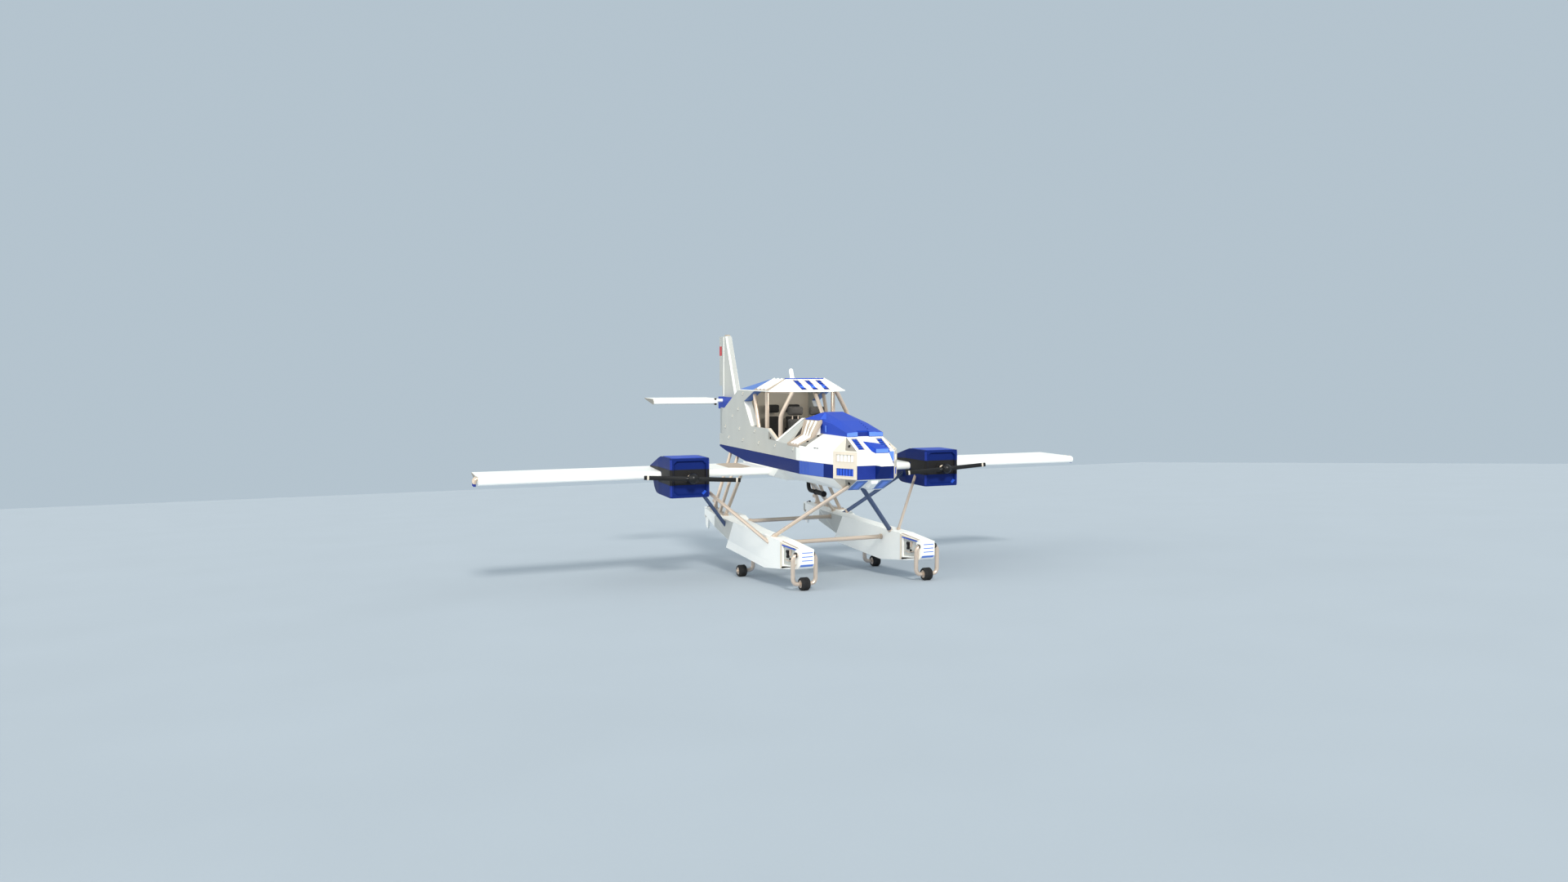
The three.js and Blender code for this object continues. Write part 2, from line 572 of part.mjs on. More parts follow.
function propeller(side) {
  const blade = hull([
    [-10, PROP.root, -42], [10, PROP.root, -42], [-24, PROP.root, 42], [-4, PROP.root, 42],
    [-4, PROP.tip, -40], [8, PROP.tip, -40], [-14, PROP.tip, 40], [-2, PROP.tip, 40],
  ]);
  const spun = joined(
    bar([-290, 0, 0], [0, 0, 0], PROP.shaft, 20),
    bar([-135, 0, 0], [-120, 0, 0], PROP.shaft + 12, 20),
    bar([-165, 0, 0], [-150, 0, 0], PROP.shaft + 12, 20),
    ball([0, 0, 0], PROP.ball),
    withBothSides(blade),
    bar([0, -60, 0], [0, 60, 0], 30),
  );
  return toSolid(toGeometry(spun).rotateX(THREE.MathUtils.degToRad(side * PROP.dip)));
}

for (const [tag, side] of SIDES) {
  const y = side * NACELLE.y;
  addPart(`nacelle_${tag}`, nacelle, 'blue', [0, y, 0]);
  addPart(`engine_${tag}`, engine, 'iron', [0, y, 0]);
  addPart(`propeller_${tag}`, propeller(side), 'black', [PROP.hubX, y, 0]);
}

// Floats, drawn round their own centre plane. Both have the same shape and neither is a mirror image:
// the starboard half of a deck is flat and the port half slopes down to a lower edge.
const BOW = { backX: 2080, backLow: -1490, frontX: 2640, frontHalf: 125, frontHigh: -1085, frontLow: -1335 };
const SLOPE = { flatX: -1180, rearX: -900, rearLow: -1082, frontLow: -1215, half: 300 };
// Shallow pocket in the starboard side of a bow, with the rows being the panel's rear and front edges.
function bowPanelPocket() {
  const outward = new THREE.Vector3(144, -560, 0).normalize().multiplyScalar(25);
  const rows = [[2125, -257.8, -1048, -1442], [2500, -164.9, -1072, -1392]];
  const corners = rows.flatMap(([x, y, high, low]) => [[x, y, high], [x, y, low]]);
  return hull([1, -1].flatMap((way) => corners.map(([x, y, z]) => [x + way * outward.x, y + way * outward.y, z])));
}
function floatBody() {
  const h = FLOAT.half;
  const fore = mirroredHull([
    [-350, h, FLOAT.deck], [BOW.backX, FLOAT.bowHalf, FLOAT.deck], [-800, h, -1565],
    [1300, FLOAT.bowHalf, -1600], [BOW.backX, FLOAT.bowHalf, BOW.backLow],
  ]);
  const aft = mirroredHull([
    [-340, h, FLOAT.deck], [-640, h, -1400], [-640, 60, -1430], [-1620, h * 0.9, -1260], [-2650, h * 0.45, -1150],
    [-2650, h * 0.45, FLOAT.deck], [-1500, h, FLOAT.deck], [-2650, 40, -1200],
  ]);
  const bow = hull([
    [BOW.backX - 10, -FLOAT.bowHalf, FLOAT.deck], [BOW.backX - 10, 0, FLOAT.deck],
    [BOW.backX - 10, FLOAT.bowHalf, -1193], [2560, -150, -1075], [2560, 150, -1100],
    ...[-1, 1].flatMap((way) => [
      [BOW.backX - 10, way * FLOAT.bowHalf, BOW.backLow],
      [BOW.frontX, way * BOW.frontHalf, BOW.frontHigh], [BOW.frontX, way * BOW.frontHalf, BOW.frontLow],
      [2540, way * BOW.frontHalf, -1430], [2560, way * 150, -1420],
    ]),
  ]);
  const deckSlope = hull([
    [SLOPE.flatX, 0, FLOAT.deck], [SLOPE.flatX, SLOPE.half, FLOAT.deck],
    [SLOPE.rearX, 0, FLOAT.deck], [SLOPE.rearX, SLOPE.half, SLOPE.rearLow],
    [BOW.backX + 5, 0, FLOAT.deck], [BOW.backX + 5, SLOPE.half, SLOPE.frontLow],
  ].flatMap(([x, y, z]) => [[x, y, z], [x, y, FLOAT.deck + 100]]));
  const lugs = [[-1022, -996], [-1190, -1164]].map(([low, high]) => (
    box([TILLER.x - 36, -34, low], [-2600, 34, high])
  ));
  const pinHole = bar([TILLER.x, 0, -1300], [TILLER.x, 0, -950], TILLER.pin + FIT, 48);
  return joined(joined(fore, aft).subtract(deckSlope), bow, ...lugs)
    .subtract(pinHole)
    .subtract(bowPanelPocket());
}

// Landing gear: a hoop round each bow and a bent leg under each float. With an extra size
// the same shapes are the sockets that take them.
function bowHoop(extra) {
  const centre = FRONT_WHEEL.y - FLOAT.y;
  const { x, z } = FRONT_WHEEL;
  const radius = GEAR_TUBE + extra;
  const halfHoop = tube([
    [x, centre + 105 - extra, -1180], [x, centre + 210, -1180], [x, centre + 210, z], [x, centre + 98, z],
  ], 104, radius, 30);
  const otherHalf = tube([
    [x, centre - 98, z], [x, centre - 210, z], [x, centre - 210, -1180], [x, centre - 105 + extra, -1180],
  ], 104, radius, 30);
  return joined(halfHoop, otherHalf, bar([x, centre - 130, z], [x, centre + 130, z], WHEEL.axle, 20));
}

function rearLeg(extra) {
  const { x, y, z } = REAR_WHEEL;
  const inner = 1190 - FLOAT.y;
  return joined(
    tube([[x, inner, -1500 + extra], [x, inner, z], [x, inner + 120, z]], 100, GEAR_TUBE + extra, 18),
    bar([x, inner + 100, z], [x, y - FLOAT.y + 88, z], WHEEL.axle, 20),
  );
}

function wheelSolid() {
  const r = WHEEL.radius;
  const w = WHEEL.width / 2;
  const profile = [
    [WHEEL.bore, -w + 10], [r * 0.6, -w + 10], [r * 0.66, -w], [r * 0.9, -w], [r, -w + 22],
    [r, w - 22], [r * 0.9, w], [r * 0.66, w], [r * 0.6, w - 10], [WHEEL.bore, w - 10],
  ];
  const points = [...profile, profile[0]].map(([a, b]) => new THREE.Vector2(a, b));
  return toSolid(new THREE.LatheGeometry(points, 36));
}

function waterRudder() {
  const outline = [[-8, -1028], [-8, -1158], [-53, -1158], [-53, -1330]];
  for (let i = 0; i <= 6; i += 1) {
    const angle = (Math.PI * i) / 12;
    outline.push([-88 - 150 * Math.sin(angle), -1350 - 130 * Math.cos(angle)]);
  }
  outline.push([-238, -1250], [-308, -1240], [-308, -1028]);
  return joined(sideSlab(outline, -22, 22), bar([0, 0, TILLER.low], [0, 0, TILLER.high], TILLER.pin));
}

const pontoon = floatBody();
const wheel = wheelSolid();
const hoop = bowHoop(0);
const leg = rearLeg(0);
const gearSockets = joined(bowHoop(FIT), rearLeg(FIT));
const blade = waterRudder();
for (const [tag, side] of SIDES) {
  const y = side * FLOAT.y;
  const own = (solid) => (side > 0 ? solid : mirrored(solid));
  addPart(`float_${tag}`, pontoon.subtract(own(gearSockets)), 'white', [0, y, 0]);
  addPart(`bow_hoop_${tag}`, own(hoop), 'beige', [0, y, 0]);
  addPart(`rear_leg_${tag}`, own(leg), 'beige', [0, y, 0]);
  addPart(`front_wheel_${tag}`, wheel, 'black', [FRONT_WHEEL.x, side * FRONT_WHEEL.y, FRONT_WHEEL.z]);
  addPart(`rear_wheel_${tag}`, wheel, 'black', [REAR_WHEEL.x, side * REAR_WHEEL.y, REAR_WHEEL.z]);
  addPart(`water_rudder_${tag}`, blade, 'white', [TILLER.x, y, 0]);
}

// Struts, cut back to what carries them. They stand unevenly to port and starboard, as in the
// photograph, and those of the nacelles pass outside the discs that the propellers sweep.
const deckStop = FLOAT.deck - 40;
const around = joined(
  joined(keel, band, tub, nose),
  moved(pontoon, [0, FLOAT.y, 0]),
  moved(pontoon, [0, -FLOAT.y, 0]),
  withBothSides(moved(nacelleOuter, [0, NACELLE.y, 0])),
  withBothSides(wingFull),
);
const STRUTS = [
  { name: 'nacelle_strut_front_port', from: [123, 2300, -155], to: [1764, 1016, deckStop], radius: 28 },
  { name: 'nacelle_strut_front_starboard', from: [50, -2300, -154], to: [1501, -1425, -1118], radius: 34 },
  { name: 'nacelle_strut_rear_port', from: [-335, 2300, -146], to: [-882, 1139, deckStop], radius: 40 },
  { name: 'nacelle_strut_rear_starboard', from: [-325, -2300, -122], to: [-876, -1425, -1139], radius: 36 },
  { name: 'cross_tube_front', from: [1360, -925, -1165], to: [1360, 930, -1165], radius: 40 },
  { name: 'cross_tube_rear', from: [-935, -925, -1085], to: [-935, 930, -1085], radius: 40 },
  { name: 'nose_strut_starboard', from: [2612, -280, 20], to: [1540, -1413, deckStop], radius: 34 },
  { name: 'nose_strut_port', from: [2573, -180, 20], to: [1635, 953, deckStop], radius: 42 },
  { name: 'belly_strut', from: [811, -358, -60], to: [-1306, 1152, deckStop], radius: 36 },
];
for (const { name, from, to, radius } of STRUTS) {
  addPart(name, cleared(bar(from, to, radius), around), 'beige');
}
// Three short struts on each side stand on one foot plate.
const REAR_STRUTS = [
  { from: [-2348, 800, 205], to: [-2248, 1232, -1040] },
  { from: [-1931, 786, 172], to: [-1796, 1254, -1040] },
  { from: [-1454, 786, 60], to: [-1296, 1304, -1040] },
];
const footPlate = planSlab(
  [[-2310, 1180], [-1240, 1240], [-1240, 1350], [-2310, 1290]],
  FLOAT.deck + GAP,
  FLOAT.deck + 28,
);
const rearStruts = cleared(joined(...REAR_STRUTS.map(({ from, to }) => bar(from, to, 36)), footPlate), around);
addPart('rear_struts_port', rearStruts, 'beige');
addPart('rear_struts_starboard', mirrored(rearStruts), 'beige');

// Outlet pipe under the belly, clear of the belly strut
const PIPE = { y: -120, topX: 235, topZ: -120, bendX: 265, z: -363, sleeveX: 605, endX: 965 };
const pipe = joined(
  tube([[PIPE.topX, PIPE.y, PIPE.topZ], [PIPE.bendX, PIPE.y, PIPE.z], [PIPE.sleeveX + 40, PIPE.y, PIPE.z]], 110, 38, 14),
  bar([PIPE.sleeveX, PIPE.y, PIPE.z], [PIPE.endX, PIPE.y, PIPE.z], 44, 20),
);
addPart('belly_pipe', cleared(pipe, keel), 'black');

// Stand on the wheels, with the box's middle at X = 0
const pitch = Math.atan2(FRONT_WHEEL.z - REAR_WHEEL.z, FRONT_WHEEL.x - REAR_WHEEL.x);
airframe.rotation.set(0, pitch, 0);
const contact = new THREE.Vector3(FRONT_WHEEL.x, 0, FRONT_WHEEL.z).applyEuler(airframe.rotation);
airframe.position.set(0, 0, WHEEL.radius - contact.z);

const part = new THREE.Group();
part.name = 'floatplane';
part.add(airframe);
const bounds = new THREE.Box3().setFromObject(part, true);
airframe.position.x -= (bounds.min.x + bounds.max.x) / 2;
part.updateMatrixWorld(true);
export default part;
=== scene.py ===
"""Looks for the twin-engined floatplane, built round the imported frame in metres."""
import json
import math

import bmesh
import bpy
from mathutils import Matrix, Vector


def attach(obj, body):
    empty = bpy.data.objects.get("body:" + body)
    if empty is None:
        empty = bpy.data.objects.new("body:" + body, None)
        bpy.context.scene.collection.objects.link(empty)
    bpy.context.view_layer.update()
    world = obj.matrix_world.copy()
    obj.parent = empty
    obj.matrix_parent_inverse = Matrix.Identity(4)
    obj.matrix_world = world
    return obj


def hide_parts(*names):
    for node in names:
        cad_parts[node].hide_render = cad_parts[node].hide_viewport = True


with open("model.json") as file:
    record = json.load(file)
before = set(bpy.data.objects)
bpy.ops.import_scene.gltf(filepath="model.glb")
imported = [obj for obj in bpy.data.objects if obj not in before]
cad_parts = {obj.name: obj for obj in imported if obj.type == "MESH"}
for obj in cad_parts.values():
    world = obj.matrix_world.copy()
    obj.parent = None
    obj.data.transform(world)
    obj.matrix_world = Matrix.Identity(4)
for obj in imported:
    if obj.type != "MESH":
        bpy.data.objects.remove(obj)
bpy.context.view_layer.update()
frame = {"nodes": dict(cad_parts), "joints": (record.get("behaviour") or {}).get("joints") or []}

# The airframe's own axes: +X forward, +Y to port, +Z up, origin on the wing's leading edge.
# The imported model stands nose-down on its wheels, so both are joined by one matrix.
AHEAD = (1, 0, 0)
PORT = (0, 1, 0)
UP = (0, 0, 1)
SIDES = (("port", 1), ("starboard", -1))
PROP_X = 0.80
NACELLE_Y = 2.61
FLOAT_Y = 1.17


def airframe_matrix():
    joint = next(j for j in frame["joints"] if j["name"] == "propeller_port_spin")
    axis = Vector(joint["axis"]).normalized()
    turn = Matrix.Rotation(math.atan2(-axis.z, axis.x), 4, "Y")
    return Matrix.Translation(Vector(joint["pos_m"]) - turn @ Vector((PROP_X, NACELLE_Y, 0))) @ turn


AIR = airframe_matrix()

# Camera, found from mirrored pairs of points in the photograph, in airframe axes.
EYE = Vector((19.051, -8.215, 1.990))
YAW = math.radians(21.97)
DOWN = math.radians(3.93)
FOCAL_PIXELS = 1303.7
FRAME_PIXELS = 1920
SENSOR_MM = 36.0


def add_object(name, data):
    obj = bpy.data.objects.new(name, data)
    bpy.context.scene.collection.objects.link(obj)
    return obj


def make_camera():
    forward = Vector((-math.cos(YAW) * math.cos(DOWN), math.sin(YAW) * math.cos(DOWN), -math.sin(DOWN)))
    right = forward.cross(Vector(UP)).normalized()
    turn = Matrix((right, right.cross(forward), -forward)).transposed().to_4x4()
    data = bpy.data.cameras.new("photo_camera")
    data.sensor_width = SENSOR_MM
    data.lens = FOCAL_PIXELS / FRAME_PIXELS * SENSOR_MM
    data.clip_end = 200
    camera = add_object("photo_camera", data)
    camera.matrix_world = AIR @ Matrix.Translation(EYE) @ turn
    bpy.context.scene.camera = camera


make_camera()

# Materials: each has noise in its colour, its roughness and its surface.
COAT_ROUGHNESS = 0.12
FINE_SHARE = 0.35
RAMP_FROM = 0.4
RAMP_TO = 0.9
SMOOTHER = 0.08
ROUGHER = 0.1
BUMP_STRENGTH = 0.6


def linear(code):
    channels = [int(code[i:i + 2], 16) / 255 for i in (0, 2, 4)]
    return [c / 12.92 if c <= 0.04045 else ((c + 0.055) / 1.055) ** 2.4 for c in channels]


def set_inputs(node, **values):
    for key, value in values.items():
        node.inputs[key.replace("_", " ")].default_value = value
    return node


def paint(name, code, rough=0.45, metal=0.0, spread=0.05, grain=60.0, bump=0.0006, patch=1.2,
          coat=0.0, sheen=0.0, pattern="NOISE", stretch=(1, 1, 1), shine=0.5):
    material = bpy.data.materials.new(name)
    material.use_nodes = True
    nodes = material.node_tree.nodes
    link = material.node_tree.links.new
    shader = set_inputs(nodes["Principled BSDF"], Metallic=metal, Specular_IOR_Level=shine,
                        Coat_Weight=coat, Coat_Roughness=COAT_ROUGHNESS, Sheen_Weight=sheen)
    where = nodes.new("ShaderNodeTexCoord").outputs["Object"]
    scaled = set_inputs(nodes.new("ShaderNodeMapping"), Scale=stretch)
    link(where, scaled.inputs["Vector"])
    large = set_inputs(nodes.new("ShaderNodeTexNoise"), Scale=patch, Detail=5)
    link(scaled.outputs["Vector"], large.inputs["Vector"])
    if pattern == "NOISE":
        fine = set_inputs(nodes.new("ShaderNodeTexNoise"), Detail=3)
        fine_out = fine.outputs["Fac"]
    else:
        fine = nodes.new("ShaderNodeTexVoronoi")
        fine_out = fine.outputs["Distance"]
    set_inputs(fine, Scale=grain)
    link(where, fine.inputs["Vector"])
    both = nodes.new("ShaderNodeMath")
    both.operation = "MULTIPLY_ADD"
    both.inputs[1].default_value = FINE_SHARE
    link(fine_out, both.inputs[0])
    link(large.outputs["Fac"], both.inputs[2])
    ramp = nodes.new("ShaderNodeValToRGB")
    stops = zip(ramp.color_ramp.elements, (RAMP_FROM, RAMP_TO), (1 - spread, 1 + spread))
    for stop, position, factor in stops:
        stop.position = position
        stop.color = [*(min(1, c * factor) for c in linear(code)), 1]
    link(both.outputs[0], ramp.inputs["Fac"])
    link(ramp.outputs["Color"], shader.inputs["Base Color"])
    span = set_inputs(nodes.new("ShaderNodeMapRange"), To_Min=max(0.05, rough - SMOOTHER),
                      To_Max=min(1.0, rough + ROUGHER))
    link(both.outputs[0], span.inputs["Value"])
    link(span.outputs["Result"], shader.inputs["Roughness"])
    relief = set_inputs(nodes.new("ShaderNodeBump"), Strength=BUMP_STRENGTH, Distance=bump)
    link(fine_out, relief.inputs["Height"])
    link(relief.outputs["Normal"], shader.inputs["Normal"])
    return material


PAINTS = {
    "white": paint("white_paint", "f7f5ec", rough=0.42, spread=0.03, coat=0.15),
    # The next paint is the white made darker: painted shade for white sides, tail faces and recesses that
    # face away from the light.
    "white_painted_shade": paint("white_painted_shade", "b8b8b1", rough=0.55, stretch=(1, 1, 0.25), patch=2.5),
    "blue": paint("blue_paint", "1e42ac", rough=0.4, spread=0.08, shine=0.2),
    # The next paint is the blue made darker: painted shade for blue sides that face away from the light.
    "navy": paint("blue_navy_painted_shade", "0f2466", spread=0.08, shine=0.12),
    "mid_blue": paint("blue_light", "4560b0", rough=0.4, spread=0.06, shine=0.25),
    "slat": paint("blue_slat", "2b55c4", rough=0.4, spread=0.06, patch=6, shine=0.25),
    "deep": paint("blue_deep", "182f84", rough=0.5, spread=0.08, patch=6, shine=0.25),
    # The next paint is a pale blue. On the hood's ridge ends it is a painted highlight; on the nose's port
    # front panel and on the undersides of the bow and the nose it is painted shade.
    "pale": paint("blue_pale_and_painted_light", "678de0", spread=0.04, patch=5, shine=0.25),
    # The next paint is painted shade: white faces under overhangs, under the nose and at the roof's rear
    # corners, painted blue-grey.
    "shade": paint("blue_grey_painted_shade", "5a7ab8", rough=0.5, spread=0.06, patch=4, shine=0.25),
    "cream": paint("cream_panel", "d8ccb9", rough=0.5, spread=0.04, patch=3),
    "tan": paint("tan_plate", "b3a392", rough=0.75, spread=0.08, grain=240, bump=0.0015, patch=4),
    "grey": paint("grey_facet", "8f8a80", rough=0.6, spread=0.06, patch=4),
    "beige": paint("beige_tube", "c9b6a3", rough=0.26, metal=0.4, spread=0.06, grain=120, patch=2, coat=0.3),
    # The next paint is painted shade: the beige tubes' dark side, for struts that lie in shade.
    "slate": paint("slate_tube_painted_shade", "3d4c6b", rough=0.4, metal=0.1, spread=0.08, grain=120, patch=2),
    "charcoal": paint("charcoal_panel", "1e1c1b", rough=0.55, spread=0.14, grain=180, patch=4, shine=0.25),
    "black": paint("black_blade", "121110", rough=0.36, spread=0.2, grain=90, patch=5, coat=0.1, shine=0.3),
    "glass": paint("dial_glass", "10161c", rough=0.12, spread=0.2, patch=9, coat=0.6),
    "tyre": paint("tyre_rubber", "1b1a19", rough=0.8, spread=0.2, grain=260, bump=0.002, patch=8),
    "seat": paint("seat_cover", "26231f", rough=0.72, spread=0.12, grain=420, bump=0.0016, patch=7,
                  sheen=0.1, pattern="VORONOI"),
    "iron": paint("engine_iron", "5a5a5a", rough=0.5, metal=0.6, spread=0.15, grain=150, bump=0.002, patch=5),
    "red": paint("red_patch", "c42222", spread=0.06, patch=4, coat=0.2),
    "steel": paint("bolt_steel", "8d8880", rough=0.3, metal=0.8, spread=0.1, grain=200, patch=9),
}
# The part's slots and the paints that stand for each. A node takes the first of its slot's paints.
SLOTS = {
    "white_paint": ("white", "white_painted_shade"),
    "blue_paint": ("blue", "navy", "mid_blue", "slat", "deep", "pale", "shade", "red"),
    "cream_panel": ("cream", "tan", "grey"),
    "charcoal_panel": ("charcoal", "glass"),
    "beige_tube": ("beige", "slate"),
    "engine_iron": ("iron", "steel"),
    "black_blade": ("black",),
    "seat_cover": ("seat",),
    "tyre": ("tyre",),
}
# Nodes that the picture shows in another paint than their slot's first. The shoulder panels take the tan; the
# others take darker copies of the white, the blue and the beige, which are painted shade on sides, tail and
# struts that face away from the light.
OWN_PAINT = {
    "cabin_tub": "white_painted_shade", "tail_cone": "white_painted_shade", "fin": "white_painted_shade", "rudder": "white_painted_shade",
    "body_band": "navy", "nacelle_port": "navy", "nacelle_starboard": "navy",
    "shoulder_panel_port": "tan", "shoulder_panel_starboard": "tan", "nose_strut_port": "slate",
    "nacelle_strut_rear_port": "slate", "nacelle_strut_rear_starboard": "slate",
}
BEVEL_WIDTH = 0.004
BEVEL_ANGLE = 30
WELD_DISTANCE = 0.00005
# Nodes made of flat faces keep crisp facets, down to this angle between two faces.
FACET_ANGLE = 9
FACETED = ("stabilator", "fin", "float", "nose_hood", "nose_block", "nose_duct", "tail_cone", "tail_spine",
           "keel_fairing", "nacelle_port", "nacelle_starboard", "cabin_tub", "shoulder_panel", "body_band")


def bevelled(obj, width, angle=BEVEL_ANGLE):
    edge = obj.modifiers.new("edges", "BEVEL")
    edge.width = width
    edge.segments = 2
    edge.limit_method = "ANGLE"
    edge.angle_limit = math.radians(angle)
    edge.harden_normals = True


def dress_nodes():
    for name, obj in frame["nodes"].items():
        for material_slot in obj.material_slots:
            slot = material_slot.material.name.split(".")[0]
            material_slot.material = PAINTS[OWN_PAINT.get(name, SLOTS[slot][0])]
        weld = obj.modifiers.new("weld", "WELD")
        weld.merge_threshold = WELD_DISTANCE
        bevelled(obj, BEVEL_WIDTH, FACET_ANGLE if name.startswith(FACETED) else BEVEL_ANGLE)


dress_nodes()


# Mesh building, in airframe metres
def corners(xs, ys, zs):
    """Every corner of a block or a rectangle with these limits."""
    return [(x, y, z) for x in xs for y in ys for z in zs]


def rectangle(low_a, high_a, low_b, high_b):
    return [(low_a, low_b), (high_a, low_b), (high_a, high_b), (low_a, high_b)]


def turns(count, shift=0.0):
    """Angles spread evenly round a circle."""
    return [2 * math.pi * (k + shift) / count for k in range(count)]


def circle(centre, side, axis, radius, sides):
    other = axis.cross(side)
    return [centre + (side * math.cos(a) + other * math.sin(a)) * radius for a in turns(sides)]


def circles(centre, axis, profile, sides):
    """Rings of points round an axis, for rows of distance and radius."""
    n = Vector(axis).normalized()
    side = n.orthogonal().normalized()
    return [p for distance, radius in profile
            for p in circle(Vector(centre) + n * distance, side, n, radius, sides)]


def facing(points, way):
    """The normal of a flat face, turned to the side that a direction points to."""
    first, second, third = (Vector(p) for p in points[:3])
    normal = (second - first).cross(third - first).normalized()
    return -normal if normal.dot(Vector(way)) < 0 else normal


def tube_faces(rings, sides):
    """Faces between rings of points, closed at both ends."""
    faces = [tuple(range(sides - 1, -1, -1))]
    for r in range(rings - 1):
        for k in range(sides):
            low, following = r * sides + k, r * sides + (k + 1) % sides
            faces.append((low, following, following + sides, low + sides))
    return faces + [tuple(range((rings - 1) * sides, rings * sides))]


class Shape:
    """Gathers closed solids, which become one piece."""

    def __init__(self):
        self.bm = bmesh.new()

    def shell(self, points, faces):
        made = [self.bm.verts.new(p) for p in points]
        for face in faces:
            self.bm.faces.new([made[i] for i in face])
        return self

    def hull(self, points):
        made = [self.bm.verts.new(p) for p in points]
        found = bmesh.ops.convex_hull(self.bm, input=made)
        loose = found["geom_interior"] + found["geom_unused"]
        spare = {e for e in loose if isinstance(e, bmesh.types.BMVert)}
        bmesh.ops.delete(self.bm, geom=list(spare), context="VERTS")
        return self

    def block(self, low, high):
        return self.hull(corners(*zip(low, high)))

    def panel(self, outline, rise=0.006, sink=0.003, normal=None):
        """A flat plate on its corners, standing proud by rise and let in by sink."""
        points = [Vector(c) for c in outline]
        n = len(points)
        if normal is None:
            normal = (points[1] - points[0]).cross(points[2] - points[0])
        normal = Vector(normal).normalized()
        both = [p + normal * rise for p in points] + [p - normal * sink for p in points]
        sides = [(i, (i + 1) % n, n + (i + 1) % n, n + i) for i in range(n)]
        return self.shell(both, [tuple(range(n)), tuple(range(2 * n - 1, n - 1, -1)), *sides])

    def upright(self, start, end, low, high, normal, rise=0.004, sink=0.003):
        """A flat rectangle that stands over a line in plan."""
        outline = [(*start, low), (*end, low), (*end, high), (*start, high)]
        return self.panel(outline, rise, sink, normal)

    def bar(self, centre, along, across, size):
        """A block round a centre, turned so that its length runs along one direction."""
        u = Vector(along).normalized()
        v = Vector(across)
        v = (v - u * v.dot(u)).normalized()
        w = u.cross(v)
        c = Vector(centre)
        return self.hull([c + u * i * size[0] / 2 + v * j * size[1] / 2 + w * k * size[2] / 2
                          for i, j, k in corners((-1, 1), (-1, 1), (-1, 1))])

    def beam(self, start, end, across, wide, high):
        """A bar from one point to another."""
        run = end - start
        return self.bar((start + end) / 2, run, across, (run.length, wide, high))

    def rod(self, points, radii, sides=14):
        """A round tube through points, with one radius or one for each point."""
        points = [Vector(p) for p in points]
        if isinstance(radii, float):
            radii = [radii] * len(points)
        outline = []
        side = None
        for i, (point, radius) in enumerate(zip(points, radii)):
            ahead = points[min(i + 1, len(points) - 1)] - points[max(i - 1, 0)]
            ahead.normalize()
            if side is None:
                side = ahead.orthogonal()
            side = (side - ahead * side.dot(ahead)).normalized()
            outline += circle(point, side, ahead, radius, sides)
        return self.shell(outline, tube_faces(len(points), sides))

    def turned(self, centre, axis, profile, sides=24):
        """A turned solid: the profile's rows are distance along the axis and radius."""
        return self.shell(circles(centre, axis, profile, sides), tube_faces(len(profile), sides))

    def ring(self, centre, axis, inner, outer, height, sides=24):
        """A washer round an axis, open in the middle."""
        profile = [(0, inner), (height, inner), (height, outer), (0, outer)]
        faces = [(r * sides + k, r * sides + (k + 1) % sides, (r + 1) % 4 * sides + (k + 1) % sides,
                  (r + 1) % 4 * sides + k) for r in range(4) for k in range(sides)]
        return self.shell(circles(centre, axis, profile, sides), faces)

    def knob(self, at, normal, radius=0.02, height=0.022):
        """A low domed fastener on a surface."""
        profile = [(-0.004, radius), (height * 0.35, radius), (height * 0.75, radius * 0.8),
                   (height, radius * 0.35)]
        return self.turned(at, normal, profile, 14)

    def both(self):
        """Adds the same again on the other side of the centre plane."""
        found = bmesh.ops.duplicate(self.bm, geom=self.bm.verts[:] + self.bm.edges[:] + self.bm.faces[:])
        for vert in found["geom"]:
            if isinstance(vert, bmesh.types.BMVert):
                vert.co.y = -vert.co.y
        return self

    def moved(self, shift):
        bmesh.ops.translate(self.bm, verts=self.bm.verts, vec=Vector(shift))
        return self

    def flipped(self, side):
        if side < 0:
            for vert in self.bm.verts:
                vert.co.y = -vert.co.y
        return self

    def spun(self, angle, centre):
        turn = Matrix.Rotation(angle, 3, "X")
        bmesh.ops.rotate(self.bm, verts=self.bm.verts, cent=Vector(centre), matrix=turn)
        return self

    def pair(self, name, kind, **more):
        """One piece with the same shape on both sides of the centre plane."""
        return self.both().piece(name, kind, **more)

    def piece(self, name, kind, body="airframe", bevel=0.0, sharp=35, replaces=()):
        bmesh.ops.recalc_face_normals(self.bm, faces=self.bm.faces)
        bmesh.ops.transform(self.bm, matrix=AIR, verts=self.bm.verts)
        mesh = bpy.data.meshes.new(name)
        self.bm.to_mesh(mesh)
        self.bm.free()
        return place(name, mesh, kind, body, bevel, sharp, replaces)


def place(name, mesh, kind, body, bevel=0.0, sharp=35, replaces=()):
    mesh.materials.append(PAINTS[kind])
    for face in mesh.polygons:
        face.use_smooth = True
    mesh.set_sharp_from_angle(angle=math.radians(sharp))
    obj = add_object(name, mesh)
    if bevel:
        bevelled(obj, bevel)
    if replaces:
        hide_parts(*replaces)
    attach(obj, body)
    return obj


def plates(name, kind, outline, rise, sink, normal, bevel=0.001):
    """One flat plate on each side of the centre plane."""
    Shape().panel(outline, rise, sink, normal).pair(name, kind, bevel=bevel)


def drawn(draw):
    """A new shape that a drawing function has filled."""
    shape = Shape()
    draw(shape)
    return shape


class Wall:
    """An upright wall over a line in plan, seen from outside on the port side."""

    def __init__(self, start, end):
        self.start = Vector((*start, 0))
        run = Vector((*end, 0)) - self.start
        self.length = run.length
        self.along = run.normalized()
        self.out = Vector((-self.along.y, self.along.x, 0))

    def at(self, reach, z, rise=0.0):
        """The point at a distance from the wall's start."""
        return self.start + self.along * reach + self.out * rise + Vector((0, 0, z))

    def at_x(self, x, z, rise=0.0):
        return self.at((x - self.start.x) / self.along.x, z, rise)


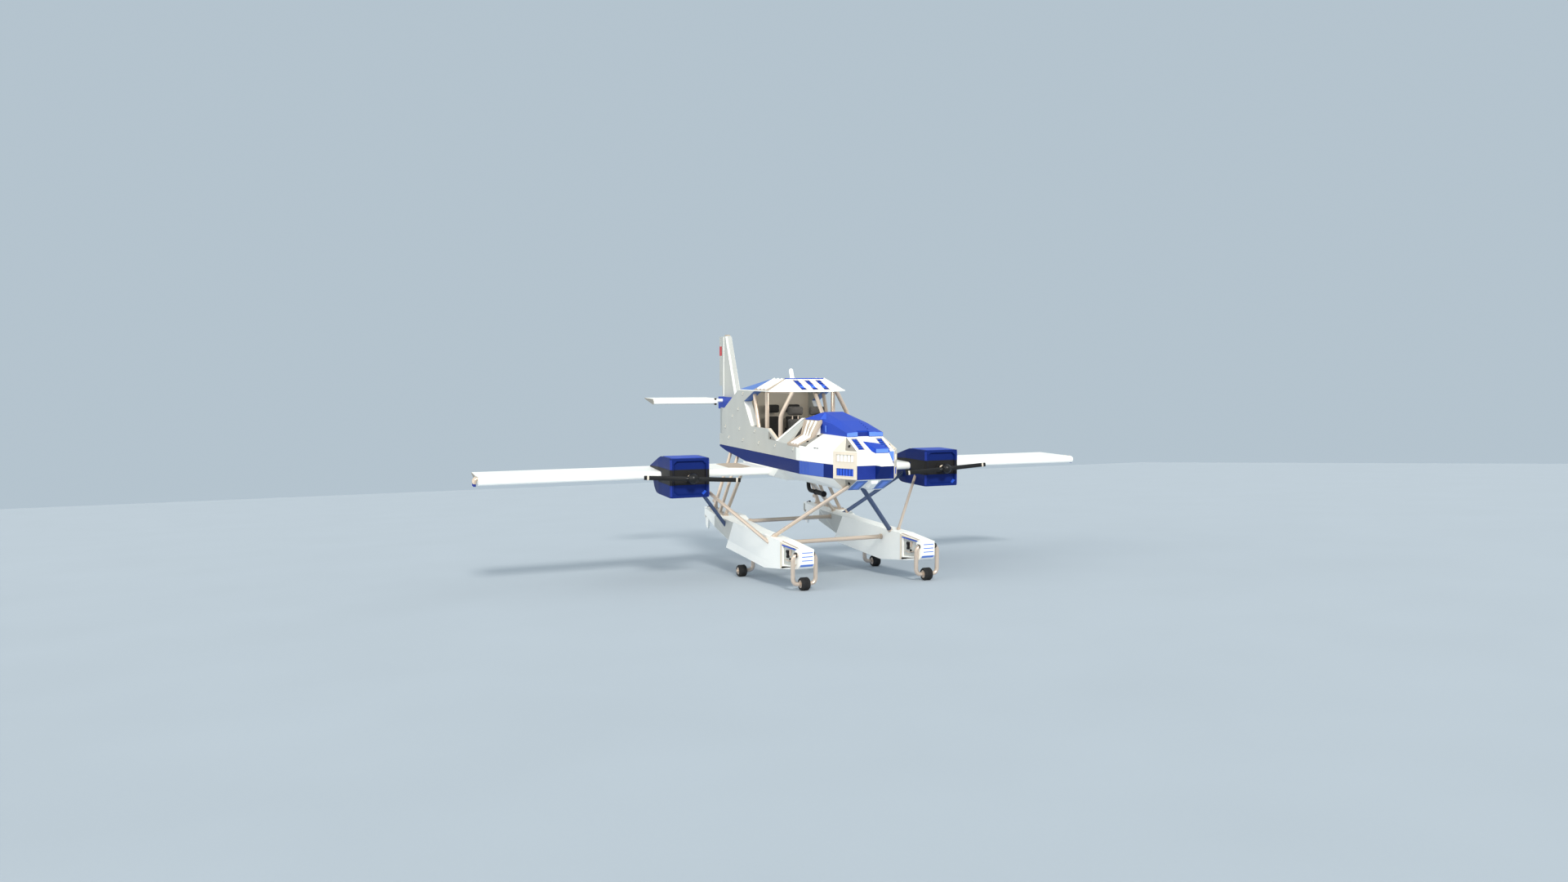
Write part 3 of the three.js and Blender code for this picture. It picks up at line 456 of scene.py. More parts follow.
# Fuselage sides: fasteners, the sill's corner and strip, the rear columns' bright faces
BODY_HALF = 0.84
SIDE_KNOBS = [
    (-2.38, 0.50), (-1.49, 0.50), (-0.58, 0.50), (0.31, 0.50), (1.20, 0.50),
    (-2.60, 0.72), (-1.70, 0.72), (-0.80, 0.72), (-2.14, 0.96), (-1.78, 1.13), (-1.50, 1.45),
]
COLUMN = (0.675, 0.836)


def fuselage_side():
    knobs = Shape()
    studs = Shape()
    for x, z in SIDE_KNOBS:
        knobs.knob((x, BODY_HALF, z), PORT, 0.026, 0.02)
        studs.knob((x + 0.03, BODY_HALF, z + 0.035), PORT, 0.012, 0.012)
    # The fasteners take the darker white of the sides: painted shade.
    knobs.pair("side_fasteners", "white_painted_shade")
    studs.pair("side_studs", "cream")

    facet = [(-0.02, BODY_HALF, 0.77), (-0.02, BODY_HALF, 0.62), (0.35, BODY_HALF, 0.615)]
    plates("sill_facets", "grey", facet, 0.004, 0.003, PORT)
    Shape().knob((0.10, BODY_HALF + 0.004, 0.655), PORT, 0.022, 0.016).pair("sill_knobs", "charcoal")
    inner, outer = COLUMN
    front = [(-1.004, inner, 0.826), (-1.004, outer, 0.826), (-1.42, outer, 1.305), (-1.42, inner, 1.305)]
    plates("column_fronts", "white", front, 0.004, 0.002, (0.755, 0, 0.655))
    # The columns' undersides are painted blue-grey: painted shade under the overhang.
    under = [(-1.415, inner, 1.3137), (-1.415, outer, 1.3137), (-0.85, outer, 1.5222),
             (-0.85, inner, 1.5222)]
    plates("column_undersides", "shade", under, 0.004, 0.002, (0.346, 0, -0.938))
    strip = Shape().bar((0.15, 0.79, 0.716), (0.5, 0, -0.216), PORT, (0.52, 0.05, 0.02))
    strip.pair("sill_strips", "cream", bevel=0.003)


fuselage_side()

TAPER = Wall((1.49, 0.84), (2.465, 0.612))
on_taper = TAPER.at_x


def nose_sides():
    for name, kind, low, high in (("white", "white", 0.335, 0.585), ("blue", "mid_blue", 0.095, 0.325)):
        ribs = Shape()
        for x in (1.55, 1.645, 1.74):
            ribs.bar(on_taper(x, (low + high) / 2, 0.004), UP, TAPER.along, (high - low, 0.028, 0.02))
        ribs.pair(f"nose_ribs_{name}", kind, bevel=0.004)
    outline = [on_taper(x, z) for x, z in rectangle(1.50, 2.20, 0.094, 0.326)]
    plates("band_light_panels", "mid_blue", outline, 0.003, 0.003, TAPER.out)
    catches = Shape()
    for x in (1.95, 2.02):
        catches.bar(on_taper(x, 0.585), TAPER.along, UP, (0.05, 0.012, 0.012))
    catches.pair("nose_top_catches", "charcoal", bevel=0.002)


nose_sides()

# Corner facets of the nose: a cream plate with two louvred vents, and triangles above and below
FACET_START = (2.465, 0.612)
FACET_END = (2.87, 0.35)
FACET = Wall(FACET_START, FACET_END)
on_facet = FACET.at
VENT_FROM = 0.066
VENT_TO = FACET.length - VENT_FROM
VENTS = (("upper", "white", "cream", 0.39, 0.515, 5), ("lower", "slat", "deep", 0.145, 0.28, 6))
PLATE_PARTS = [
    (0.004, VENT_FROM, 0.094, 0.566), (VENT_TO, FACET.length - 0.004, 0.094, 0.566),
    (VENT_FROM, VENT_TO, 0.094, 0.145), (VENT_FROM, VENT_TO, 0.28, 0.39),
    (VENT_FROM, VENT_TO, 0.515, 0.566),
]


def nose_corners():
    plate = Shape()
    for limits in PLATE_PARTS:
        plate.panel([on_facet(u, z) for u, z in rectangle(*limits)], 0.007, 0.002, FACET.out)
    plate.pair("corner_plates", "cream")
    rims = Shape()
    wide = VENT_TO - VENT_FROM
    for _, _, _, low, high, _ in VENTS:
        for z in (low, high):
            rims.bar(on_facet(FACET.length / 2, z, 0.008), FACET.along, UP, (wide + 0.02, 0.01, 0.01))
        for u in (VENT_FROM, VENT_TO):
            rims.bar(on_facet(u, (low + high) / 2, 0.008), UP, FACET.along, (high - low, 0.01, 0.01))
    rims.pair("corner_vent_rims", "cream", bevel=0.002)
    for name, kind, back_kind, low, high, count in VENTS:
        ribs = Shape()
        step = wide / count
        for i in range(count):
            middle = on_facet(VENT_FROM + step * (i + 0.5), (low + high) / 2, -0.004)
            tilted = FACET.along + FACET.out * 0.16
            ribs.bar(middle, UP, tilted, (high - low - 0.004, step * 0.84, 0.007))
        ribs.pair(f"corner_vent_{name}", kind, bevel=0.002)
        outline = [on_facet(u, z, -0.0135) for u, z in rectangle(VENT_FROM, VENT_TO, low, high)]
        plates(f"corner_vent_{name}_back", back_kind, outline, 0.003, 0.001, FACET.out)
    for name, level, tip in (("upper", 0.57, 0.80), ("lower", 0.09, -0.14)):
        nose_notch(name, level, tip)


def nose_notch(name, level, tip):
    """The two triangles of a cut corner, a knob in the front one, and the ledge at its foot."""
    notch = Vector((2.56, 0.43, level))
    peak = Vector((2.43, 0.35, tip))
    rear = Vector((*FACET_START, level))
    front = Vector((*FACET_END, level))
    inward = Vector((2.2, 0.2, (level + tip) / 2))
    for part, kind, edge in (("rear", "cream", rear), ("front", "grey", front)):
        outline = [edge.lerp(peak.lerp(notch, 0.5), 0.03), peak.lerp(edge.lerp(notch, 0.5), 0.03),
                   notch.lerp(edge.lerp(peak, 0.5), 0.03)]
        normal = facing(outline, outline[0] - inward)
        plates(f"notch_{name}_{part}", kind, outline, 0.004, 0.002, normal)
    knob = Shape().knob((front + peak + notch) / 3, normal, 0.026, 0.026)
    knob.pair(f"notch_{name}_knobs", "charcoal")
    run = (front - rear) * 0.97
    middle = (rear + front) / 2 + Vector((-0.012, -0.012, 0))
    ledge = Shape().bar(middle, run, UP, (run.length, 0.014, 0.02))
    ledge.pair(f"notch_{name}_ledges", "cream", bevel=0.003)


nose_corners()

# Louvred windows in the nose and the roof: a deep blue back with six slats inside a cream rim
LOUVRE_HALF = 0.06
LOUVRE_DEPTH = 0.018
LOUVRE_PITCH = 0.238
LOUVRE_SLATS = 6


def louvres(name, centre, along, length, places):
    run = Vector(along).normalized()
    across = Vector(PORT)
    up = run.cross(across)
    wide = 2 * LOUVRE_HALF
    step = length / LOUVRE_SLATS
    backs = Shape()
    slats = Shape()
    rims = Shape()
    for place_at in places:
        middle = Vector(centre) + across * place_at * LOUVRE_PITCH
        backs.bar(middle - up * (LOUVRE_DEPTH - 0.002), run, across, (length - 0.002, wide - 0.002, 0.004))
        for i in range(LOUVRE_SLATS):
            spot = middle + run * (step * (i + 0.5) - length / 2) - up * (LOUVRE_DEPTH * 0.45)
            slats.bar(spot, run + up * 0.22, across, (step * 0.84, wide - 0.006, 0.006))
        proud = middle + up * 0.001
        for end in (-1, 1):
            rims.bar(proud + run * end * length / 2, across, run, (wide + 0.014, 0.014, 0.012))
            rims.bar(proud + across * end * LOUVRE_HALF, run, across, (length + 0.014, 0.014, 0.012))
    backs.piece(f"{name}_window_backs", "deep")
    slats.piece(f"{name}_window_slats", "slat", bevel=0.0015)
    rims.piece(f"{name}_window_rims", "cream", bevel=0.003)


louvres("nose", (2.657, 0, 0.680), (0.44, 0, -0.23), 0.378, (-1, 1))
louvres("roof", (0.093, 0, 1.659), (0.595, 0, -0.222), 0.53, (-1, 0, 1))

# Hood and duct
HOOD_SIDE = (Vector((1.352, -0.385, 1.05)), Vector((1.15, -0.182, 1.179)), Vector((1.82, -0.18, 1.045)))
HOOD_END = 2.45
NOSE_FRONT = 2.87
HOOD_RIVETS = [
    (1.9, 0.16, 1.020), (2.0, 0.15, 0.998), (2.1, 0.14, 0.976), (2.2, 0.13, 0.951), (2.3, 0.12, 0.926),
]


def hood_details():
    low, peak, front = HOOD_SIDE
    outline = [low * 0.93 + peak * 0.035 + front * 0.035, low * 0.47 + peak * 0.04 + front * 0.49,
               low * 0.05 + peak * 0.90 + front * 0.05]
    Shape().panel(outline, 0.007, 0.004, (-0.2, -0.55, 0.8)).piece("hood_triangle", "slat", bevel=0.002)
    # The ridge ends and the wedge top's front are painted pale blue as a painted highlight; the panel at the
    # nose's port front corner is painted shade.
    faces = Shape()
    for outline in ([(-0.345, 0.803), (-0.143, 0.803), (-0.143, 0.877), (-0.185, 0.877), (-0.345, 0.864)],
                    [(0.083, 0.803), (0.345, 0.803), (0.345, 0.864), (0.185, 0.877), (0.083, 0.877)]):
        faces.panel([(HOOD_END, y, z) for y, z in outline], 0.005, normal=AHEAD)
    faces.upright((2.885, -0.005), (2.885, 0.235), 0.545, 0.613, AHEAD, 0.006)
    faces.upright((NOSE_FRONT, 0.255), (NOSE_FRONT, 0.345), 0.40, 0.565, AHEAD, 0.005)
    faces.piece("hood_end_faces", "pale", bevel=0.002)
    for name, start, end, low, high in (("nose_low_face", 0.255, 0.345, 0.335, 0.395),
                                        ("nose_front_face", -0.345, -0.005, 0.095, 0.326)):
        face = Shape().upright((NOSE_FRONT, start), (NOSE_FRONT, end), low, high, AHEAD)
        face.piece(name, "deep", bevel=0.002)
    # The back of the gap between the ridge ends is painted deep blue: painted shade in the gap.
    Shape().block((2.375, -0.138, 0.802), (2.40, 0.078, 0.868)).piece("hood_gap_back", "deep", bevel=0.003)
    rivets = Shape()
    for spot in HOOD_RIVETS:
        rivets.knob(spot, (0.25, 0, 1), 0.009, 0.01)
    rivets.piece("hood_rivets", "deep")
    Shape().rod([(1.62, -0.372, 0.835), (1.62, -0.374, 0.955)], 0.009).pair("hood_side_bars", "pale")


hood_details()

# Roof: blue plate on the front top edge, beige side sections with beaded ribs, blue-grey rear corners that
# are painted shade
ROOF_OUT = facing([(-1.76, 0.82, 1.548), (-0.09, 0.814, 1.548), (-0.92, 0.41, 1.77)], UP)
BEAD_PITCH = 0.03


def beads(shape, start, end, radius, out):
    """A row of small rounded beads from one point on a surface to another."""
    run = end - start
    steps = 4 * max(2, round(run.length / BEAD_PITCH))
    points = [start + run * i / steps + out * radius * 0.35 for i in range(steps + 1)]
    radii = [radius * (0.86 + 0.14 * abs(math.sin(math.pi * i / 4))) for i in range(steps + 1)]
    shape.rod(points, radii, 10)


def roof_details():
    plate = Shape().block((-0.30, -0.40, 1.769), (-0.215, 0.40, 1.788))
    plate.piece("roof_front_plate", "blue", bevel=0.003)
    outline = [(-0.92, 0.8175, 1.5485), (-0.095, 0.8135, 1.5485), (-0.225, 0.41, 1.767),
               (-0.90, 0.412, 1.768)]
    plates("roof_side_sections", "tan", outline, 0.005, 0.006, ROOF_OUT, 0.002)
    ribs = Shape()
    for x in (-0.70, -0.50, -0.30):
        foot = Vector((x, 0.80, 1.5575)) + ROOF_OUT * 0.005
        head = Vector((x, 0.43, 1.757)) + ROOF_OUT * 0.005
        beads(ribs, foot, head, 0.029, ROOF_OUT)
    ribs.pair("roof_ribs", "white")
    # The rear corners are painted blue-grey: painted shade on faces turned away from the light.
    outline = [(-1.72, 0.818, 1.550), (-0.94, 0.817, 1.5485), (-0.925, 0.415, 1.768)]
    plates("roof_rear_corners", "shade", outline, 0.004, 0.006, ROOF_OUT)
    base = Shape().turned((-0.842, 0, 1.762), UP, [(0, 0.085), (0.018, 0.08), (0.026, 0.05)])
    base.piece("antenna_base", "white")


roof_details()

# Shoulder panels beside the hood: each line runs from the panel's rear end to its front end
SHOULDER_TOP = (Vector((0.951, -0.495, 1.039)), Vector((1.430, -0.365, 1.039)))
SHOULDER_BEND = (Vector((0.942, -0.565, 0.750)), Vector((1.460, -0.552, 0.722)))
SHOULDER_FOOT = (Vector((0.932, -0.840, 0.598)), Vector((1.490, -0.840, 0.596)))
SHOULDER_LINES = (SHOULDER_TOP, SHOULDER_BEND, SHOULDER_FOOT)
OUT_HIGH = Vector((0.1, -1, 0.25)).normalized()
OUT_LOW = Vector((0.0, -0.5, 0.86)).normalized()


def shoulder_details():
    ribs = Shape()
    for share in (0.27, 0.50, 0.73):
        upper, bend, foot = (rear.lerp(front, share) for rear, front in SHOULDER_LINES)
        beads(ribs, upper.lerp(bend, 0.06), bend, 0.024, OUT_HIGH)
        beads(ribs, bend, bend.lerp(foot, 0.92), 0.024, OUT_LOW)
    ribs.pair("shoulder_ribs", "white")
    edge = Shape()
    for end, inset in ((0, 0.012), (1, -0.014)):
        edge.rod([line[end] + Vector((inset, -0.006, 0.006)) for line in SHOULDER_LINES], 0.013, 10)
    edge.pair("shoulder_edges", "tan")

    top = [(0.93, -0.50, 1.062), (0.84, -0.51, 1.062), (0.93, -0.465, 1.062), (0.84, -0.475, 1.062)]
    rim = Shape().hull(corners((0.33, 0.43), (-0.842, -0.80), (0.612,)) + top)
    rim.pair("gusset_rims", "white", bevel=0.006)

    facet = [(1.452, -0.372, 0.802), (1.495, -0.825, 0.602), (1.70, -0.80, 0.606), (1.50, -0.37, 0.800)]
    normal = facing(facet, UP)
    plates("shoulder_facets", "grey", facet, 0.006, 0.004, normal)
    knobs = Shape()
    for share, radius in ((0.25, 0.02), (0.72, 0.024)):
        spot = Vector(facet[0]).lerp(Vector(facet[1]), share) + Vector((0.055, 0.01, 0.004))
        knobs.knob(spot, normal, radius, 0.026)
    knobs.pair("shoulder_knobs", "charcoal")


shoulder_details()

# Wings: root plates, tip fittings, fasteners
WING_TOP = 0.075
WING_SPAN = 6.25
TIP_OUT = WING_SPAN + 0.055
WING_ROOT = [(-1.10, 1.55), (-1.16, 1.27), (-1.13, 1.10), (-0.29, 1.11), (-0.13, 1.36), (-0.26, 1.58)]


def wing_details():
    plates("wing_root_plates", "tan", [(x, y, WING_TOP) for x, y in WING_ROOT], 0.005, 0.001, UP)
    tips = Shape()
    feet = Shape()
    for x in (-0.16, -0.31):
        tips.rod([(x, WING_SPAN - 0.03, 0.045), (x, WING_SPAN + 0.02, 0.05), (x, WING_SPAN + 0.05, 0.02),
                  (x, TIP_OUT, -0.04)], [0.03, 0.034, 0.034, 0.03], 14)
        feet.rod([(x, TIP_OUT, -0.035), (x, TIP_OUT, -0.085)], 0.026, 12)
    tips.pair("wing_tip_fittings", "beige")
    feet.pair("wing_tip_ends", "deep")
    outline = [(-0.36, -0.055), (-1.17, 0.052), (-1.17, 0.073), (-0.36, 0.060)]
    plates("wing_tip_plates", "grey", [(x, WING_SPAN, z) for x, z in outline], 0.006, 0.002, PORT, 0.002)
    fasteners = Shape()
    for i in range(12):
        y = 3.15 + i * 0.26
        fasteners.knob((-1.02, y, WING_TOP), UP, 0.008, 0.005)
        fasteners.knob((-0.20, y, WING_TOP - 0.003), UP, 0.008, 0.008)
    fasteners.pair("wing_fasteners", "white")


wing_details()

# Nacelles, drawn round their own centre plane
NACELLE_HALF = 0.37
NACELLE_FRONT = 0.62
NACELLE_TOP = 0.355
RECESS_BACK = 0.575
BAND_HIGH = 0.15
BAND_LOW = -0.13
WING_HIGH = 0.079
SHAFT_HOLE = 0.075


def nacelle_band(shape):
    for out in (1, -1):
        y = out * NACELLE_HALF
        normal = (0, out, 0)
        shape.upright((0.018, y), (0.584, y), BAND_LOW, BAND_HIGH, normal)
        shape.upright((-0.198, y), (0.016, y), WING_HIGH, BAND_HIGH, normal)
        shape.panel([(-0.198, y, BAND_LOW), (0.016, y, BAND_LOW), (0.016, y, -0.066), (-0.198, y, -0.074)],
                    0.004, normal=normal)
        rear_y = out * 0.296 * 1.004
        shape.panel([(-1.08, rear_y, 0.080), (-0.2, y, WING_HIGH), (-0.2, y, BAND_HIGH),
                     (-1.08, rear_y, 0.096)], 0.004, 0.002, (-0.074, out * 0.9, 0))
        for x0, y0, x1, y1, way, rise in ((0.586, NACELLE_HALF, NACELLE_FRONT, 0.336, (1, out, 0), 0.004),
                                          (NACELLE_FRONT, 0.312, NACELLE_FRONT, 0.334, AHEAD, 0.004),
                                          (NACELLE_FRONT, 0.309, 0.577, 0.289, (0.4, -out, 0), 0.003)):
            shape.upright((x0, out * y0), (x1, out * y1), BAND_LOW, BAND_HIGH, way, rise)
    hole = SHAFT_HOLE
    for y0, y1, z0, z1 in ((-0.286, -hole, BAND_LOW, BAND_HIGH), (hole, 0.286, BAND_LOW, BAND_HIGH),
                           (-hole, hole, hole, BAND_HIGH), (-hole, hole, BAND_LOW, -hole)):
        shape.upright((RECESS_BACK, y0), (RECESS_BACK, y1), z0, z1, AHEAD)


def nacelle_collar(shape):
    shape.ring((RECESS_BACK - 0.002, 0, 0), AHEAD, 0.0545, 0.118, 0.022, 32)
    for angle in turns(8, 0.5):
        spot = (RECESS_BACK + 0.02, 0.097 * math.cos(angle), 0.097 * math.sin(angle))
        shape.knob(spot, AHEAD, 0.009, 0.01)


def nacelle_top(shape):
    side = NACELLE_HALF - 0.05
    outline = [(0.55, -side), (0.55, side), (-0.03, side), (-0.03, -side)]
    shape.panel([(x, y, NACELLE_TOP) for x, y in outline], 0.006, 0.002, UP)


# A lighter blue facet in the front recess's lower corner: painted highlight.
def nacelle_bright_corner(shape):
    shape.panel([(NACELLE_FRONT, 0.250, -0.315), (NACELLE_FRONT, 0.310, -0.255), (0.576, 0.289, -0.236),
                 (0.576, 0.231, -0.294)], 0.003, 0.001, (0.4, -0.7, 0.7))


def nacelle_chamfers(shape):
    for out in (1, -1):
        for low, high in ((-0.335, BAND_LOW - 0.004), (BAND_HIGH + 0.004, 0.33)):
            shape.upright((0.588, out * NACELLE_HALF), (0.618, out * 0.3385), low, high, (1, out, 0), 0.003)


NACELLE_DETAILS = [
    ("nacelle_band", nacelle_band, "charcoal", 0.001),
    ("nacelle_collar", nacelle_collar, "charcoal", 0.002),
    ("nacelle_top_plate", nacelle_top, "blue", 0.003),
    ("nacelle_bright_corner", nacelle_bright_corner, "slat", 0.001),
    ("nacelle_chamfer_strip", nacelle_chamfers, "deep", 0.001),
]


def make_nacelle_details():
    for name, draw, kind, bevel in NACELLE_DETAILS:
        for tag, side in SIDES:
            drawn(draw).moved((0, side * NACELLE_Y, 0)).piece(f"{name}_{tag}", kind, bevel=bevel)


make_nacelle_details()

# Propellers: they replace their plain solids
PROP_DIP = math.radians(3.5)
BLADE_TIP = 0.904
BLADE_SECTIONS = 9
BLADE_SIDES = 12
SPINNER = 0.099


def add_blade(shape, start, end, way, grow=0.0):
    """A blade between two radii, a little twisted, or with grow a band that lies round it."""
    points = []
    for i in range(BLADE_SECTIONS):
        reach = start + (end - start) * i / (BLADE_SECTIONS - 1)
        share = reach / BLADE_TIP
        chord = 0.042 - 0.003 * share + grow
        thick = 0.011 - 0.005 * share + grow
        twist = math.radians(13 - 9 * share)
        for angle in turns(BLADE_SIDES):
            across = chord * math.cos(angle)
            deep = thick * math.sin(angle)
            points.append((deep * math.cos(twist) - across * math.sin(twist), way * reach,
                           across * math.cos(twist) + deep * math.sin(twist)))
    shape.shell(points, tube_faces(BLADE_SECTIONS, BLADE_SIDES))


def ball_profile(radius, steps=16):
    tilts = [math.pi * (i / steps - 0.5) for i in range(steps + 1)]
    return [(radius * math.sin(a), 0.001 + radius * math.cos(a)) for a in tilts]


def make_propellers():
    for tag, side in SIDES:
        body = f"propeller_{tag}"
        centre = (PROP_X, side * NACELLE_Y, 0)
        blades = Shape()
        bands = Shape()
        for way in (1, -1):
            add_blade(blades, 0.045, BLADE_TIP, way)
            blades.rod([(0, way * y, 0) for y in (0.03, 0.12, 0.16)], [0.034, 0.03, 0.012], 18)
            add_blade(bands, 0.815, 0.85, way, 0.0012)
        for shape in (blades, bands):
            shape.moved(centre).spun(side * PROP_DIP, centre)
        blades.piece(f"blades_{tag}", "black", body, sharp=60, replaces=(body,))
        bands.piece(f"blade_bands_{tag}", "cream", body, sharp=50)
        hub = Shape().turned((0, 0, 0), AHEAD, ball_profile(SPINNER), 32)
        hub.turned((-0.29, 0, 0), AHEAD, [(0, 0.052), (0.24, 0.052)], 32)
        hub.moved(centre).piece(f"spinner_{tag}", "black", body, sharp=60)
        rings = Shape()
        for x in (-0.135, -0.165):
            rings.turned((x, 0, 0), AHEAD, [(0, 0.058), (0.003, 0.064), (0.012, 0.064), (0.015, 0.058)], 32)
        rings.moved(centre).piece(f"shaft_rings_{tag}", "beige", body)


make_propellers()

# Tail
FIN_FOOT = 1.32
FIN_TOP = 2.72
FIN_EDGE = [
    (FIN_FOOT, ((-4.155, 0.073), (-4.075, 0.046), (-4.155, 0.079), (-4.06, 0.050))),
    (FIN_TOP, ((-4.82, 0.068), (-4.75, 0.046), (-4.82, 0.074), (-4.735, 0.050))),
]
# Each row: the plane's y, then x and two levels of every corner pair
STABILATOR_END = [
    (1.93, ((-4.395, 1.182, 1.238), (-4.455, 1.155, 1.282), (-5.20, 1.272, 1.293))),
    (1.938, ((-4.40, 1.185, 1.236), (-4.455, 1.158, 1.279), (-5.195, 1.274, 1.291))),
]
PIVOT = (-4.375, 0.475)


def tail_details():
    Shape().block((-4.955, -0.045, 2.736), (-4.825, 0.045, 2.768)).piece("fin_cap", "tan", bevel=0.006)
    edge = Shape().hull([(x, y, z) for z, spots in FIN_EDGE for x, y in spots])
    edge.pair("fin_edge_strips", "white", bevel=0.002)
    hinge = Shape().hull(corners((-4.97, -4.93), (0.06, 0.082), (FIN_FOOT,))
                         + corners((-4.97, -4.93), (0.055, 0.076), (FIN_TOP,)))
    hinge.pair("fin_hinge_strips", "white", bevel=0.004)
    patch = Shape().hull(corners((-5.425,), (0.010, 0.018), (2.28, 2.50))
                         + corners((-5.20,), (0.030, 0.036), (2.28, 2.50)))
    patch.pair("rudder_patches", "red", body="rudder")
    pivots = Shape()
    caps = Shape()
    for level, way in ((1.258, 1), (1.166, -1)):
        pivots.rod([(*PIVOT, level - way * 0.01), (*PIVOT, level + way * 0.028)], 0.028, 16)
        caps.rod([(*PIVOT, level + way * 0.026), (*PIVOT, level + way * 0.036)], 0.017, 12)
    pivots.pair("tail_pivots", "charcoal", body="stabilator")
    caps.pair("tail_pivot_caps", "beige", body="stabilator")
    ends = Shape().hull([(x, y, z) for y, rows in STABILATOR_END for x, *levels in rows for z in levels])
    ends.pair("stabilator_ends", "grey", body="stabilator")
    boom = Shape()
    for x in (-3.2, -3.6, -4.0, -4.4):
        boom.knob((x, 0.245 - (x + 2.8) * -0.053, 1.18), PORT, 0.016, 0.012)
    boom.pair("spine_fasteners", "blue")


tail_details()

# Floats: bow frames, front grilles, stern fittings, drawn round each float's own centre plane.
# What lies on one side is drawn to port and turned to starboard, which is the same on both floats.
DECK = -1.0
BOW_START = 2.08
BOW_END = 2.64
BOW = Wall((BOW_START, 0.269), (BOW_END, 0.125))
on_bow = BOW.at_x


def bow_edges(x):
    """Upper and lower edge of the slanted bow side at x."""
    share = (x - BOW_START) / (BOW_END - BOW_START)
    return DECK - 0.085 * share, DECK - 0.49 + 0.155 * share


def bow_frame(shape):
    rear, front = 2.085, 2.548
    rear_top, rear_low = bow_edges(rear)
    front_top, front_low = bow_edges(front)
    for strip in (
        [(rear, rear_top - 0.01), (2.125, -1.016), (2.125, rear_low + 0.02), (rear, rear_low + 0.012)],
        [(2.125, -1.018), (front, front_top - 0.01), (2.50, -1.072), (2.125, -1.048)],
        [(2.125, -1.442), (2.50, -1.392), (front, front_low + 0.024), (2.125, rear_low + 0.02)],
    ):
        shape.panel([on_bow(x, z) for x, z in strip], 0.008, 0.002, BOW.out)


def bow_inner(shape):
    shape.bar(on_bow(2.150, -1.245, -0.006), UP, BOW.along, (0.37, 0.022, 0.03))
    shape.beam(on_bow(2.15, -1.418, -0.006), on_bow(2.49, -1.375, -0.006), UP, 0.022, 0.03)


def bow_rail(shape):
    shape.beam(on_bow(2.14, -1.062), on_bow(2.52, -1.092), UP, 0.018, 0.024)


def bow_works(shape):
    shape.bar(on_bow(2.285, -1.20, -0.008), BOW.along, UP, (0.055, 0.13, 0.022))
    shape.turned(on_bow(2.285, -1.155, 0.004), BOW.out, [(0, 0.03), (0.014, 0.03), (0.02, 0.018)], 18)
    shape.turned(on_bow(2.285, -1.245, 0.004), BOW.out, [(0, 0.022), (0.012, 0.022), (0.016, 0.012)], 18)
    shape.bar(on_bow(2.345, -1.29, -0.012), UP, BOW.along, (0.06, 0.03, 0.02))


def bow_works_light(shape):
    shape.bar(on_bow(2.355, -1.17, -0.008), (0.15, 0, 1), BOW.along, (0.10, 0.04, 0.022))
    shape.rod([on_bow(2.22, -1.30, -0.004), on_bow(2.30, -1.32), on_bow(2.42, -1.29, -0.004)], 0.009, 10)


def bow_deck_strip(shape):
    shape.panel([(2.10, 0.258, -1.0045), (2.10, 0.215, -1.0045), (2.535, 0.108, -1.069),
                 (2.535, 0.148, -1.069)], 0.006, 0.004, (0.15, 0, 1))


def bow_recess(shape):
    # The recess is lined with the darker white: painted shade in the recess.
    outline = [(2.13, -1.052), (2.495, -1.075), (2.495, -1.39), (2.13, -1.438)]
    shape.panel([on_bow(x, z, -0.024) for x, z in outline], 0.003, 0.002, BOW.out)


def aft_side(shape):
    """Faces behind a float's step, in the darker white: painted shade."""
    shape.panel([(-0.36, 0.28, -1.008), (-0.65, 0.28, -1.392), (-1.485, 0.28, -1.008)], 0.003, 0.002, PORT)
    shape.panel([(-0.67, 0.2793, -1.388), (-1.60, 0.2526, -1.256), (-1.50, 0.279, -1.02)], 0.003, 0.003)


def bow_face(shape):
    high, low = -1.092, -1.328
    for top, foot in ((high, -1.128), (-1.148, -1.196), (-1.216, -1.262), (-1.282, low)):
        shape.upright((BOW_END, -0.118), (BOW_END, 0.118), top, foot, AHEAD, 0.009, 0.002)
    for y in (-0.109, 0.109):
        shape.bar((BOW_END + 0.0045, y, (high + low) / 2), UP, PORT, (high - low, 0.018, 0.011))


def bow_face_slots(shape):
    for z in (-1.138, -1.206, -1.272):
        shape.bar((BOW_END + 0.001, 0, z), PORT, (0.5, 0, 1), (0.20, 0.016, 0.007))


def bow_underside(shape):
    # The bow's slanted underside is painted pale blue: painted shade.
    shape.panel([(2.636, -0.118, -1.338), (2.636, 0.118, -1.338), (2.546, 0.118, -1.424),
                 (2.546, -0.118, -1.424)], 0.004, 0.002, (0.69, 0, -0.72))


def hoop_sockets(shape):
    for out in (1, -1):
        centre = Vector((2.551, 0.017 + out * 0.147, -1.18))
        shape.ring(centre, (0, out, 0), 0.0395, 0.049, 0.018, 20)
        shape.ring(centre + Vector((0, out * 0.026, 0)), (0, out, 0), 0.0395, 0.044, 0.01, 20)


def deck_fasteners(shape):
    for count, start, pitch, y in ((9, 1.85, 0.27, -0.235), (5, -0.75, 0.36, -0.08)):
        for i in range(count):
            shape.knob((start - pitch * i, y, DECK), UP, 0.011, 0.008)


def deck_tube(shape):
    path = [(-2.42, DECK), (-2.42, -0.93), (-2.435, -0.885), (-2.48, -0.86), (-2.56, -0.85)]
    shape.rod([(x, 0.06, z) for x, z in path], [0.034, 0.034, 0.036, 0.038, 0.045], 18)
    shape.ring((-2.42, 0.06, DECK - 0.001), UP, 0.033, 0.06, 0.012, 20)


